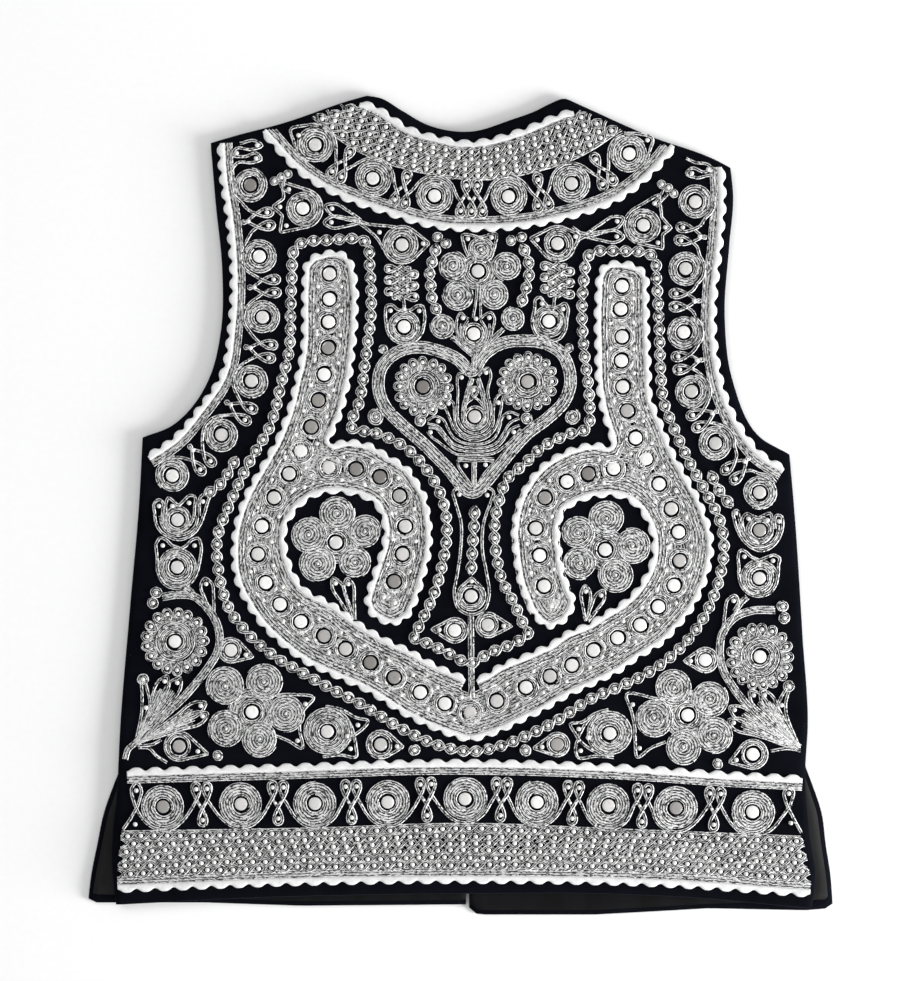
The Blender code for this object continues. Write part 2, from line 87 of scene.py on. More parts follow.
# The fronts' own edges. Their other edges are tucked under the back's, and the facings lie inside the vents
# and hems.
LEFT_VENT = [(-261.5, -200), (-267, -215), (-275, -238), (-280, -262), (-284.5, -284.5), (-286.8, -303)]
LEFT_FRONT_HEM = [(-286.8, -303), (-284, -306), (-197, -306), (-124, -308.5), (4, -307.5)]
RIGHT_VENT = [(265, -198), (271, -215), (278.5, -238), (281.5, -262), (285, -284.5), (286.8, -307)]
RIGHT_FRONT_HEM = [
    (286.8, -307), (284, -310.5), (266, -312), (191, -310.5), (147, -313), (104, -315.3), (13, -315.3),
    (7, -310),
]
LEFT_FRONT_NECK = [(4, 150), (-22, 196), (-52, 252), (-74, 309)]
RIGHT_FRONT_NECK = [(7, 150), (34, 196), (62, 252), (83, 306)]
TUCK = 2.0
FACING_INSET, FACING_WIDTH = 3.5, 38.0

# Braid lines run along the tips of the scallops.
NECK_BRAID = [
    (-76.5, 313), (-64, 308.8), (-53.5, 302.3), (-44, 295.5), (-32, 289.8), (-18, 286), (4, 282), (43, 290),
    (75, 303), (86, 306.5),
]
NET_EDGE = [
    (-114, 299.5), (-96, 284.5), (-74, 271), (-43, 260), (-16, 254.5), (13, 251.5), (57, 257.5), (93, 270),
    (124, 289.5),
]
YOKE_BRAID = [
    (-154.5, 285.8), (-124, 254), (-88, 233.5), (-60, 224), (-26, 213.7), (-13, 211.7), (18, 210.5),
    (75, 217.5), (128, 237), (150, 255), (167, 274.5),
]
LEFT_ARM_BRAID = [
    (-188, 279), (-187, 260), (-181, 216), (-178, 172), (-180, 136), (-186, 102), (-203, 76.5), (-222, 54),
    (-242.5, 40),
]
RIGHT_ARM_BRAID = [
    (204, 261), (205, 236), (202.5, 201), (198.5, 165), (197.5, 140), (200, 112), (206, 86), (218, 61),
    (233, 42), (251, 30.5),
]
HEM_TOP_BRAID = [(-257, -202), (-150, -199), (0, -195), (120, -198.5), (200, -204), (263.5, -207.5)]
HEM_LOW_BRAID = [(-264, -298.5), (-120, -293), (7, -291.5), (150, -294), (269, -302)]
HEM_NET_TOP = [(-261, -251.5), (-112, -249), (7, -245.5), (114, -249.5), (263, -255.5)]

# Braid: its width on the vest and round the paisleys, its thickness, and its scallops.
BRAID_WIDTH, FRAME_WIDTH, BRAID_THICK = 6.4, 5.8, 1.5
SCALLOP_DEPTH, SCALLOP_POWER = 2.7, 3.4
SCALLOP_PITCH, LEFT_ARM_SCALLOP_PITCH, HEM_SCALLOP_PITCH, PAISLEY_SCALLOP_PITCH = 12.9, 11.3, 14.4, 12.2
# The cord is double: two twisted plies side by side. Cords are laid a pitch apart.
CORD, CORD_HEIGHT, PITCH = 2.3, 1.15, 2.35
FINE_CORD, FINE_PITCH = 1.9, 1.95
# How far apart the places on a line are: cords, loops, sharp turns, nets, the paisleys' bed, braids.
STEP, LOOP_STEP, SHARP_STEP, NET_STEP, BED_STEP, BRAID_STEP = 1.7, 1.2, 1.3, 1.5, 2.7, 0.85
# Radii of a mirror and of the innermost turn round it, of beads, and of blobs: one turn of cord round a bead.
MIRROR, MIRROR_RIM = 4.85, 7.45
BEAD, SMALL_BEAD, DISC_BEAD, DISC_RIM = 1.8, 1.6, 1.1, 1.9
BLOB, LOOSE_BLOB, TREFOIL_BLOB = 4.5, 4.0, 3.5

# Coiled rosettes: x, y, how pale the mirror's painted reflection is.
YOKE_ROSETTES = [
    (-112, 278, 1), (-67.5, 252, 1), (-20, 238.5, 1), (37, 238, 1), (85.5, 248, 0.8), (130, 271, 1),
]
LEFT_ARM_ROSETTES = [
    (-162, 247, 0.45), (-155, 192, 1), (-152.5, 145, 0.9), (-161, 96, 1), (-184, 54.5, 0.9), (-222, 23, 1),
]
RIGHT_ARM_ROSETTES = [
    (181, 234, 1), (173.5, 182.5, 0.9), (172, 133.5, 1), (178, 88, 0.85), (196.5, 48, 0.7), (230.5, 10, 0.9),
]
HEM_ROSETTES = [
    (-229, -232, 0.55), (-169, -230, 0.9), (-112, -229.5, 0.95), (-56, -228.5, 1), (3.5, -226, 0.9),
    (59, -228.5, 1), (114, -231, 0.85), (166, -233, 0.6), (225, -236, 0.95),
]
YOKE_ROSETTE, ARM_ROSETTE, HEM_ROSETTE = 14.6, 13.4, 17.2

# Outlines of the paisleys along their scallops' tips, from the notch between them, round the curled
# tip, over the stem and down to the foot.
LEFT_PAISLEY = [
    (5, -131.5), (-6.5, -126.5), (-17.5, -121.5), (-28, -116), (-39, -109.5), (-50.5, -104.5), (-61, -99),
    (-72, -92.5), (-85, -84), (-93.5, -77), (-105, -70.5), (-115.5, -65.5), (-123.5, -57.5), (-128.5, -48),
    (-132, -37.5), (-133.5, -27.5), (-133, -18), (-128.5, -9), (-121.5, -0.5), (-112.5, 5.5), (-100.5, 8.5),
    (-88.5, 8), (-76, 5), (-67, -0.5), (-62, -10), (-60.5, -20), (-61.3, -29.5), (-63.5, -37.5), (-67, -47),
    (-70, -56.5), (-73, -65.5), (-74.5, -73), (-73, -80), (-69, -86), (-62, -90.5), (-53.5, -93),
    (-45.5, -91), (-38, -85), (-33, -75), (-29, -63.5), (-25.5, -51), (-22.5, -39), (-21.3, -28),
    (-21.5, -16), (-23.3, -3.5), (-26, 9), (-32, 19), (-38, 28.5), (-47.5, 35.5), (-57.5, 41.5), (-67, 47.5),
    (-78, 50.5), (-89, 51.5), (-98.5, 49.5), (-94.5, 60.5), (-90.5, 69.5), (-88, 78.5), (-85.5, 89),
    (-83, 99.5), (-81.5, 111), (-80.5, 121), (-79, 135), (-78.5, 150), (-78, 161.5), (-79, 172.5),
    (-81, 184.5), (-85.5, 192.5), (-93, 197), (-105, 196.5), (-116.5, 192), (-121.5, 185), (-122.5, 175),
    (-123, 157.5), (-123, 138), (-123.5, 123.5), (-126, 108), (-129, 96), (-131.5, 84.5), (-134.5, 73.5),
    (-138, 64.5), (-143, 52), (-150.5, 38.5), (-159, 24), (-167, 9.5), (-172, -3.5), (-175.5, -16),
    (-177, -29.5), (-177, -44), (-175, -56.5), (-171, -67.5), (-164.5, -79), (-156, -91.5), (-145, -103),
    (-131.5, -114.5), (-117.5, -124), (-103.5, -130.5), (-89, -137), (-73, -144.4), (-58, -153.7),
    (-45, -162), (-31, -169.2), (-16, -175.7), (-3.5, -180.3), (6.5, -182.8),
]
RIGHT_PAISLEY = [
    (11, -132), (19, -128.5), (28, -122.5), (38, -118), (49.5, -113.5), (58.5, -109.5), (69.5, -104.5),
    (78, -98), (86.5, -94), (98, -89.5), (109.5, -82), (120, -76), (129.5, -68.5), (136.5, -60.5),
    (141.5, -52), (145, -44), (146.5, -34.5), (145.5, -22.5), (142, -13), (138, -6), (131.5, 0.5),
    (124, 4.5), (116, 6), (106.5, 5.5), (98.5, 4), (90, 0.5), (82, -4), (78, -14), (77, -24.5),
    (78.5, -34.5), (79.5, -45), (83, -57.5), (86.5, -66), (89.5, -75), (88, -79.5), (84, -87.5), (76.5, -93),
    (68, -95.5), (59, -90.5), (53, -83), (48.5, -73), (44.5, -63), (41, -46.5), (39.5, -33.5), (38.5, -21),
    (41, -3.5), (44.5, 8), (49.5, 17), (55, 25), (63.5, 33.5), (72.5, 39.5), (83, 44.5), (94.5, 48),
    (105, 49), (114, 47.5), (111.5, 59.5), (107.5, 71.5), (105, 84.5), (103.5, 96), (103, 109.5), (103, 122),
    (102.5, 135), (102.5, 147), (103, 159.5), (103.5, 171.5), (106, 181.5), (110.5, 187), (124.5, 189),
    (133.5, 187.5), (140.5, 183.5), (145, 177.5), (145.5, 164), (146, 144.5), (146.5, 124), (147.5, 104.5),
    (148.5, 83.5), (151.5, 74.5), (156, 64.5), (160.5, 53), (166.5, 39.5), (173, 28), (179, 17), (185, 6.5),
    (190, -6), (194.5, -20.5), (195.5, -34.5), (193.5, -47.5), (190, -59.5), (186, -69), (180.5, -79.5),
    (173, -89.5), (165, -98.5), (157.5, -106.5), (146.5, -113.5), (135, -120.5), (125, -128), (111.5, -135),
    (99, -141), (86.5, -146.5), (75, -153), (63, -160), (49.5, -166.5), (36.5, -173), (22.5, -178.8),
    (8.5, -182.8),
]
# The paisleys' mirrors: x, y, how pale the painted reflection; the stem's row first, then the curled tip's.
LEFT_PAISLEY_MIRRORS = [
    (-101, 178.5, 1), (-101, 159, 1), (-101.5, 141.5, 1), (-102, 121.5, 0.55), (-105, 101, 1),
    (-109.5, 81, 0.5), (-115, 60.5, 0.5), (-123, 42, 1), (-132, 24.5, 0.9), (-143.5, 6, 0.9), (-153, -16, 1),
    (-156, -37.5, 1), (-150, -59.5, 1), (-139, -76, 1), (-123, -89.5, 1), (-105, -100.5, 0.6),
    (-88.5, -110.5, 0.85), (-69.5, -121, 0.45), (-51, -132.5, 0.5), (-31, -144, 1), (-12, -152.5, 1),
    (7.5, -159.5, 0.8),
]
LEFT_CURL_MIRRORS = [
    (-101.5, 29.5, 1), (-80.5, 28, 0.55), (-62, 22, 0.4), (-47, 7.5, 0.6), (-42.5, -16, 0.95),
    (-44.5, -37.5, 0.75), (-51, -58.5, 0.5),
]
RIGHT_PAISLEY_MIRRORS = [
    (124.5, 169, 1), (123.5, 151.5, 1), (124.5, 130, 1), (124, 111.5, 1), (125, 91.5, 1), (128.5, 73, 0.8),
    (135, 52, 1), (143, 36, 1), (153, 16.5, 1), (162.5, -2.5, 0.9), (168, -20.5, 1), (169, -42.5, 0.8),
    (164.5, -61.5, 1), (152.5, -78, 1), (138.5, -92, 1), (121, -102, 1), (102.5, -111.5, 1), (86, -123, 1),
    (69, -131.5, 0.8), (50.5, -140, 1), (28, -150.5, 0.9),
]
RIGHT_CURL_MIRRORS = [
    (118, 28.5, 1), (98.5, 24.5, 0.5), (82, 18.5, 1), (65, 6, 0.6), (58, -17.5, 1), (61, -38.5, 1),
    (64.5, -62, 1),
]

HEART = [
    (8, 103.5), (-2, 112.5), (-15, 118.5), (-32, 122), (-49, 118), (-61, 106), (-63, 89), (-58, 76),
    (-46, 63), (-29, 48), (-12, 31), (9.5, 10), (27, 27), (39, 42), (51, 55), (68, 68), (80, 80.5),
    (84.5, 93), (83, 107), (78, 117), (66, 124.5), (48, 127), (31, 124.5), (19, 117),
]
CHAIN = [
    (7, -189.3), (-14, -185.5), (-45, -172), (-62, -162), (-80, -151), (-98, -142), (-118, -131),
    (-147, -113.5), (-163, -99.5), (-178, -80), (-186, -53.5), (-187, -23.5), (-177, 3), (-163, 33),
    (-146, 63), (-138, 95), (-132, 120), (-131, 149), (-130, 176), (-127, 199), (-100, 204.5), (-72, 202),
    (-70, 184), (-69, 149), (-73, 115), (-78, 80), (-84, 60), (-66, 56), (-43, 45), (-25, 26), (-14, 5),
    (-10.5, -20), (-14, -45), (-20, -67), (-32, -93), (-36, -101), (-23, -107), (-7, -115), (7, -121.5),
    (22, -113.5), (43, -105), (52, -99), (48, -90.5), (40, -73), (32.5, -59), (28, -41), (27, -7.5),
    (30.5, 6.5), (36, 20.5), (48, 31), (64, 45.5), (82, 54.5), (98, 60), (99.5, 74), (98, 96), (95, 120.5),
    (93.5, 152), (95, 174), (99, 193), (123, 196), (149, 191), (151, 173), (153, 138), (154, 106), (156, 82),
    (165, 58), (177.5, 31), (191, 6.5), (200, -12.5), (203, -34), (200, -53.5), (193, -75), (181, -96),
    (163, -115.5), (145.5, -128), (121, -140), (100, -149), (75, -165), (50, -177.5), (28, -186),
]
CHAIN_HALF, CHAIN_PITCH = 3.35, 9.8

# Flowers of coiled petals: the mirror's x, y, then each petal's x, y, radius.
FLOWERS = {
    "flower_left": [(-96, -28.5), (-95, -6, 14), (-73.5, -20, 13), (-81.5, -44, 12.6), (-110, -45, 14.4),
        (-117, -22.5, 14.2)],
    "flower_right": [(111.5, -34), (112.5, -10, 14.1), (132.5, -31, 14.1), (119.5, -53.5, 13.9),
        (92, -44.5, 13.1), (90.5, -21, 13.1)],
    "corner_flower_left": [(-160.5, -159), (-181.5, -139, 15.1), (-151.5, -136, 14.6),
        (-134.5, -160.5, 14.6), (-154.5, -180, 14.1), (-180.5, -172, 14.6)],
    "corner_flower_right": [(175, -161.5), (164.5, -140, 14.6), (192, -149, 14.6), (195, -177, 14.6),
        (171.5, -186, 14.1), (149, -163.5, 15.1)],
    "neck_flower": [(13.5, 180.5), (15.7, 197, 10.6), (35.6, 184, 11.5), (26.3, 162.4, 11.5),
        (-2.2, 162.4, 12.4), (-5.8, 184.6, 11.6)],
}
FLOWER_COIL, FLOWER_RING = 9.3, 10.6


def ease(share):
    """0 to 1 along a soft S."""
    share = np.clip(share, 0.0, 1.0)
    return share * share * (3 - 2 * share)


def back_under(x, y):
    """Height of the back's inner face, as in the solids."""
    step = FACING_STEP * ease((STEP_FROM_Y - y) / (STEP_FROM_Y - STEP_TO_Y))
    across = np.maximum(0.0, 1 - (x / PUFF_HALF_WIDTH) ** 2)
    from_shoulder = ease((SHOULDER_REACH - y - SHOULDER_SLOPE * abs(x)) / FADE)
    from_hem = ease((y - HEM_Y) / FADE)
    wave = np.sin(TURN * (x + RIPPLE_SLANT * y) / RIPPLE_LENGTH)
    return SEAM_HEIGHT + step + (PUFF + RIPPLE * wave) * across * from_shoulder * from_hem


def crease_height(x, y):
    """Soft troughs and ridges that fade out at their ends."""
    total = np.zeros(np.shape(x))
    for x1, y1, x2, y2, half, height in CREASES:
        reach = math.hypot(x2 - x1, y2 - y1)
        along = ((x - x1) * (x2 - x1) + (y - y1) * (y2 - y1)) / reach**2
        aside = ((x - x1) * (y2 - y1) - (y - y1) * (x2 - x1)) / reach
        ridge = height * np.exp(-((aside / half) ** 2))
        total = total + ridge * ease(2 * along + 0.5) * ease(2.5 - 2 * along)
    return total


def cloth_top(x, y):
    """Height of the velvet's upper face on the back."""
    return back_under(x, y) + BACK_THICK + crease_height(x, y)


def measured(path):
    """The length along a path at each of its places."""
    return np.concatenate([[0.0], np.cumsum(np.linalg.norm(np.diff(path, axis=0), axis=1))])


def smooth(points, closed=False, finer=10):
    """A smooth curve through the points, as many short steps."""
    points = np.array(points, float)[:, :2]
    if closed:
        points = np.concatenate([points[-2:], points, points[:3]])
    knots = measured(points)
    slopes = np.gradient(points, knots, axis=0)
    spans = range(2, len(points) - 3) if closed else range(len(points) - 1)
    t = np.linspace(0, 1, finer, endpoint=False)[:, None]
    fine = []
    for i in spans:
        reach = knots[i + 1] - knots[i]
        fine.append(
            (2 * t**3 - 3 * t**2 + 1) * points[i] + (t**3 - 2 * t**2 + t) * reach * slopes[i]
            + (3 * t**2 - 2 * t**3) * points[i + 1] + (t**3 - t**2) * reach * slopes[i + 1]
        )
    return np.concatenate(fine + [points[spans[-1] + 1][None]])


def spaced(line, count):
    """count + 1 evenly spaced places along a line."""
    line = np.array(line, float)
    lengths = measured(line)
    where = np.linspace(0, lengths[-1], count + 1)
    return np.stack([np.interp(where, lengths, line[:, k]) for k in (0, 1)], axis=1)


def places(points, count):
    """count + 1 evenly spaced places along the smooth curve through the points."""
    return spaced(smooth(points, finer=12), count)


def joined(*parts):
    """One line of places along several curves, each given by its points and their count."""
    lines = [places(points, count) for points, count in parts]
    return np.concatenate([line[:-1] for line in lines[:-1]] + lines[-1:])


def respaced(line, step=STEP, closed=False):
    """The same line with places an even step apart."""
    count = max(2, round(measured(line)[-1] / step))
    return spaced(line, count)[: count if closed else count + 1]


def even(points, step=STEP, closed=False):
    """The smooth curve through the points, with places an even step apart."""
    return respaced(smooth(points, closed), step, closed)


def normals(path, closed=False):
    """Left-hand normals of a path."""
    along = np.roll(path, -1, 0) - np.roll(path, 1, 0) if closed else np.gradient(path, axis=0)
    along /= np.linalg.norm(along, axis=1)[:, None] + 1e-9
    return np.stack([-along[:, 1], along[:, 0]], axis=1)


def beside(path, distance, closed=False):
    """The path moved to its left by the distance."""
    return path + normals(path, closed) * distance


def polar(x, y, radius, angle):
    """Places at each angle and radius round a middle."""
    return np.stack([x + radius * np.cos(angle), y + radius * np.sin(angle)], axis=1)


class Weave:
    """Grids of quads, each with marks along and across it and a tone, that end up as one mesh."""

    def __init__(self):
        self.points, self.faces, self.marks, self.tones, self.count = [], [], [], [], 0

    def grid(self, points, along, across, tone=1.0, closed=False):
        """Rings of places, row after row, with a cap at each end unless the rows close. Each ring runs from
        left over the top and back underneath."""
        rows, wide = points.shape[:2]
        i = np.arange(rows if closed else rows - 1)[:, None]
        j = np.arange(wide)[None, :]
        low, high, j_next = i * wide, (i + 1) % rows * wide, (j + 1) % wide
        corners = np.stack([low + j, low + j_next, high + j_next, high + j], axis=-1)
        shape = corners.shape[:2]
        u, u_next = (np.broadcast_to(along[k], shape) for k in (i, i + 1))
        v, v_next = (np.broadcast_to(across[k], shape) for k in (j, j + 1))
        marks = np.stack([u, v, u, v_next, u_next, v_next, u_next, v], axis=-1)
        faces, marks = [corners.reshape(-1, 4)], [marks.reshape(-1, 8)]
        if not closed:
            for row, way in ((0, -1), (rows - 1, 1)):
                cap = np.array([(0, k + 1, k + 2, k + 3) for k in range(0, wide - 2, 2)])[:, ::way]
                faces.append(cap + row * wide)
                marks.append(np.stack([np.full(cap.shape, along[row]), across[cap]], axis=-1).reshape(-1, 8))
        self.faces.append(np.concatenate(faces) + self.count)
        self.marks.append(np.concatenate(marks))
        self.points.append(points.reshape(-1, 3))
        self.tones.append(np.full(rows * wide, tone))
        self.count += rows * wide


def add_object(name, data):
    """A new object in the scene."""
    thing = bpy.data.objects.new(name, data)
    bpy.context.scene.collection.objects.link(thing)
    return thing


def finish_piece(mesh, material, slot, *nodes):
    """The mesh as a piece of the vest that replaces those nodes."""
    piece = add_object(mesh.name, mesh)
    mesh.materials.append(material)
    mesh.shade_smooth()
    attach(piece, "root")
    if nodes:
        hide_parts(*nodes)
    return piece


def make_piece(name, weave, material, slot, *nodes):
    """One mesh from all the grids of a weave."""
    points = np.concatenate(weave.points) * MM
    faces = np.concatenate(weave.faces)
    mesh = bpy.data.meshes.new(name)
    mesh.vertices.add(len(points))
    mesh.vertices.foreach_set("co", points.ravel().astype(np.float32))
    mesh.loops.add(faces.size)
    mesh.loops.foreach_set("vertex_index", faces.ravel().astype(np.int32))
    mesh.polygons.add(len(faces))
    mesh.polygons.foreach_set("loop_start", np.arange(0, faces.size, 4, dtype=np.int32))
    marks = np.concatenate(weave.marks).ravel().astype(np.float32)
    mesh.uv_layers.new(name="thread").data.foreach_set("uv", marks)
    tones = np.concatenate(weave.tones).astype(np.float32)
    mesh.attributes.new("tone", "FLOAT", "POINT").data.foreach_set("value", tones)
    mesh.update(calc_edges=True)
    return finish_piece(mesh, material, slot, *nodes)


# A cord's section from its left side over its two crests, in widths and heights, and where round it that is.
CORD_SECTION = [(0.5, 0.35), (0.34, 1.0), (0.0, 0.35), (-0.34, 1.0), (-0.5, 0.35), (0.0, -0.12)]
AROUND_CORD = np.arange(len(CORD_SECTION) + 1) / len(CORD_SECTION)
CORD_GROOVE = AROUND_CORD[2]
# A braid's section from one edge over the top to the other, as shares of its width and thickness.
BRAID_SECTION = [
    (0.0, 0.45), (0.07, 0.85), (0.3, 1.0), (0.7, 1.0), (0.93, 0.85), (1.0, 0.45), (0.86, 0.05), (0.14, 0.05),
]
# A bead's and a mirror's outline from the ground up, in radii; the mirror's heights are in millimetres.
BEAD_SECTION = [(0.75, 0.0), (1.0, 0.7), (0.9, 1.2), (0.55, 1.6), (0.2, 1.72)]
MIRROR_SECTION = [(1.0, 0.0), (1.0, 0.75), (0.93, 0.95), (0.5, 1.0)]
MIRROR_TILT = 0.035
# How much paler one cord, bead or mirror may be than the next; a mirror's paleness is painted reflection.
CORD_TONES, BEAD_TONES, MIRROR_REFLECTION_TONES = (0.82, 1.0), (0.9, 1.0), (0.76, 1.0)
# How far a twisted or knotted cord rises and falls where it crosses itself, how far a knot's loops lean over
# each other, and how far its beads lie inside their tips.
CROSSING, KNOT_LEAN, KNOT_BEAD_INSET = 0.45, 4.2, 4.6
# How far the outline of a pointed motif lies outside its coil, and how far along each tip the bead is.
POINTED_OUTLINE, TIP_BEAD_SHARE = CORD / 2 - 0.1, 0.36


class Sewing:
    """The cords of one motif, with the beads and mirrors of its region."""

    def __init__(self, beads, mirrors):
        self.cords, self.beads, self.mirrors = Weave(), beads, mirrors
        self.mirror_places = []

    def cord(self, path, lift=0.0, closed=False, width=CORD):
        if len(path) < 3:
            return
        side = normals(path, closed)
        level = cloth_top(path[:, 0], path[:, 1]) + lift
        rings = np.empty((len(path), len(CORD_SECTION), 3))
        for k, (aside, up) in enumerate(CORD_SECTION):
            rings[:, k, :2] = path + side * (aside * width)
            rings[:, k, 2] = level + up * CORD_HEIGHT
        along = measured(np.concatenate([path, path[:1]]) if closed else path)
        self.cords.grid(rings, along, AROUND_CORD, rng.uniform(*CORD_TONES), closed)

    def sheaf(self, points, count=1, closed=False, pitch=PITCH, width=CORD):
        """Cords side by side, with the smooth curve through the points in their middle."""
        path = even(points, closed=closed)
        for k in range(count):
            self.cord(beside(path, ((count - 1) / 2 - k) * pitch, closed), closed=closed, width=width)

    def bead(self, x, y, radius=BEAD, lift=0.0):
        sides, rows = 8, len(BEAD_SECTION)
        angles = np.linspace(0, TURN, sides, endpoint=False)
        level = float(cloth_top(x, y)) + lift
        rings = []
        for wide, up in BEAD_SECTION:
            ring = polar(x, y, radius * wide, angles)
            rings.append(np.column_stack([ring, np.full(sides, level + radius * up)]))
        along, around = np.arange(rows) / (rows - 1), np.arange(sides + 1) / sides
        self.beads.grid(np.array(rings), along, around, rng.uniform(*BEAD_TONES))

    def drawn(self, curves, dots):
        """Single cords along smooth curves, then beads."""
        for points in curves:
            self.sheaf(points)
        for dot in dots:
            self.bead(*dot)

    def mirror(self, x, y, tone=1.0):
        """A small round mirror that its coil holds at a slight tilt."""
        sides, rows = 24, len(MIRROR_SECTION)
        angles = np.linspace(0, TURN, sides, endpoint=False)
        tilt = rng.normal(0, MIRROR_TILT, 2)
        level = float(cloth_top(x, y))
        rings = []
        for wide, up in MIRROR_SECTION:
            lean = polar(0, 0, MIRROR * wide, angles) @ tilt * (up > 0)
            rings.append(np.column_stack([polar(x, y, MIRROR * wide, angles), level + up + lean]))
        along, around = np.arange(rows) / (rows - 1), np.arange(sides + 1) / sides
        # The tone is painted reflection: how pale this mirror looks.
        self.mirrors.grid(np.array(rings), along, around, tone * rng.uniform(*MIRROR_REFLECTION_TONES))
        self.mirror_places.append((x, y))

    def coil(self, x, y, outer, inner, width=CORD):
        """A cord coiled from its outer turn to its inner one, by hand and so not quite round."""
        rounds = max(1, round((outer - inner) / PITCH) + 1)
        angle = np.linspace(0, TURN * rounds, 18 * rounds + 6)
        start, way = rng.uniform(0, TURN), rng.choice([-1, 1])
        if rounds == 1:
            radius = np.full(len(angle), (outer + inner) / 2)
        else:
            wound = (angle - math.pi) / (TURN * (rounds - 1))
            radius = outer + (inner - outer) * np.clip(wound, 0, 1)
        radius = radius + 0.16 * np.sin(2 * angle + start) + 0.09 * np.sin(5.3 * angle)
        self.cord(respaced(polar(x, y, radius, start + way * angle), min(STEP, 0.28 * outer)), width=width)

    def circle(self, x, y, radius, lift):
        angle = np.linspace(0, TURN, max(12, round(TURN * radius / STEP)), endpoint=False)
        self.cord(polar(x, y, radius + 0.15 * np.sin(3 * angle + radius), angle), lift, closed=True)

    def rosette(self, x, y, outer, tone=1.0):
        """A mirror in a coil."""
        self.mirror(x, y, tone)
        self.coil(x, y, outer - CORD / 2, MIRROR_RIM)

    def disc(self, x, y, outer):
        """A coil wound to its middle, where a bead sits."""
        self.coil(x, y, outer - CORD / 2, DISC_RIM)
        self.bead(x, y, DISC_BEAD, lift=0.5)

    def blob(self, x, y, radius=BLOB):
        """A bead inside one turn of cord."""
        width = min(CORD, 0.5 * radius)
        self.coil(x, y, radius - width / 2, radius - width / 2, width)
        self.bead(x, y, min(BEAD, radius - width - 0.1), lift=0.2)

    def eyes(self, path, pitch=CHAIN_PITCH, half=CHAIN_HALF, closed=False, width=CORD, flip=False, bead=BEAD):
        """Two cords twisted into a chain of eyes with a bead in each. A flipped chain starts half an eye
        along, and a closed one has an even number of eyes."""
        lengths = measured(np.concatenate([path, path[:1]]) if closed else path)
        whole, here, pair = lengths[-1], lengths[: len(path)], 2 if closed else 1
        count = max(1, round(whole / pitch / pair)) * pair
        phase = math.pi * count * here / whole + (math.pi / 2 if flip else 0)
        side = normals(path, closed)
        for way in (1, -1):
            line = path + side * (way * half * np.sin(phase))[:, None]
            self.cord(line, CROSSING + CROSSING * way * np.cos(phase), closed, width)
        for k in range(count + 1 if flip else count):
            where = (k + (0 if flip else 0.5)) * whole / count
            if not flip or 0.3 * pitch < where < whole - 0.3 * pitch:
                self.bead(*(np.interp(where, here, path[:, m]) for m in (0, 1)), bead)

    def loop(self, root, bead, half=3.3, tip=4.4):
        """A long loop from its root round a bead and back."""
        root, bead = np.array(root, float), np.array(bead, float)
        along = (bead - root) / np.linalg.norm(bead - root)
        aside = np.array([-along[1], along[0]])
        waist = root + (bead - root) * 0.5
        points = [root + aside, waist + aside * half * 0.8, bead + aside * half, bead + along * tip,
                  bead - aside * half, waist - aside * half * 0.8, root - aside]
        self.cord(even(points, LOOP_STEP), 0.15)
        self.bead(*bead)

    def pointed(self, x, y, coil, tips, tone=1.0):
        """A coiled mirror in an outline drawn out to tips with a bead in each."""
        self.rosette(x, y, coil, tone)
        angle = np.linspace(-math.pi, math.pi, 120, endpoint=False)
        ring = coil + POINTED_OUTLINE
        radius = np.full(len(angle), ring)
        for tip_x, tip_y in tips:
            reach = math.hypot(tip_x - x, tip_y - y) - 1.1
            if reach > ring:
                apart = np.abs((angle - math.atan2(tip_y - y, tip_x - x) + math.pi) % TURN - math.pi)
                side = ring / np.cos(np.maximum(0.0, math.acos(ring / reach) - apart))
                radius = np.maximum(radius, side)
        line = polar(x, y, radius, angle)
        self.cord(respaced(np.concatenate([line, line[:1]]), SHARP_STEP, closed=True), closed=True)
        for tip_x, tip_y in tips:
            reach = math.hypot(tip_x - x, tip_y - y)
            share = (coil + TIP_BEAD_SHARE * (reach - coil)) / reach
            self.bead(x + (tip_x - x) * share, y + (tip_y - y) * share)

    def ring_flower(self, x, y, outer, count, tone=1.0):
        """A coiled mirror inside a ring of loops that touch, with a bead in each."""
        foot, middle = outer - 10.0, np.array([x, y])
        self.rosette(x, y, foot, tone)
        for ring in (foot + 1.0, foot + 3.3):
            self.circle(x, y, ring, -0.3)
        half = math.pi * (outer - 4.2) / count - 0.95
        for k in range(count):
            turn = TURN * (k + rng.uniform(-0.08, 0.08)) / count
            along = np.array([math.cos(turn), math.sin(turn)])
            aside = np.array([-along[1], along[0]])
            reach = outer - 0.9 + rng.uniform(-0.5, 0.5)
            side = [(foot, 0.5), (foot + 2.8, 0.75 * half), (reach - 3.6, half), (reach - 1.1, 0.72 * half)]
            marks = side + [(reach, 0)] + [(away, -off) for away, off in side[::-1]]
            points = [middle + away * along + off * aside for away, off in marks]
            self.cord(even(points, LOOP_STEP), 0.1 + 0.25 * (k % 2), width=FINE_CORD)
            self.bead(*(middle + (reach - 4.0) * along), SMALL_BEAD, lift=0.2)

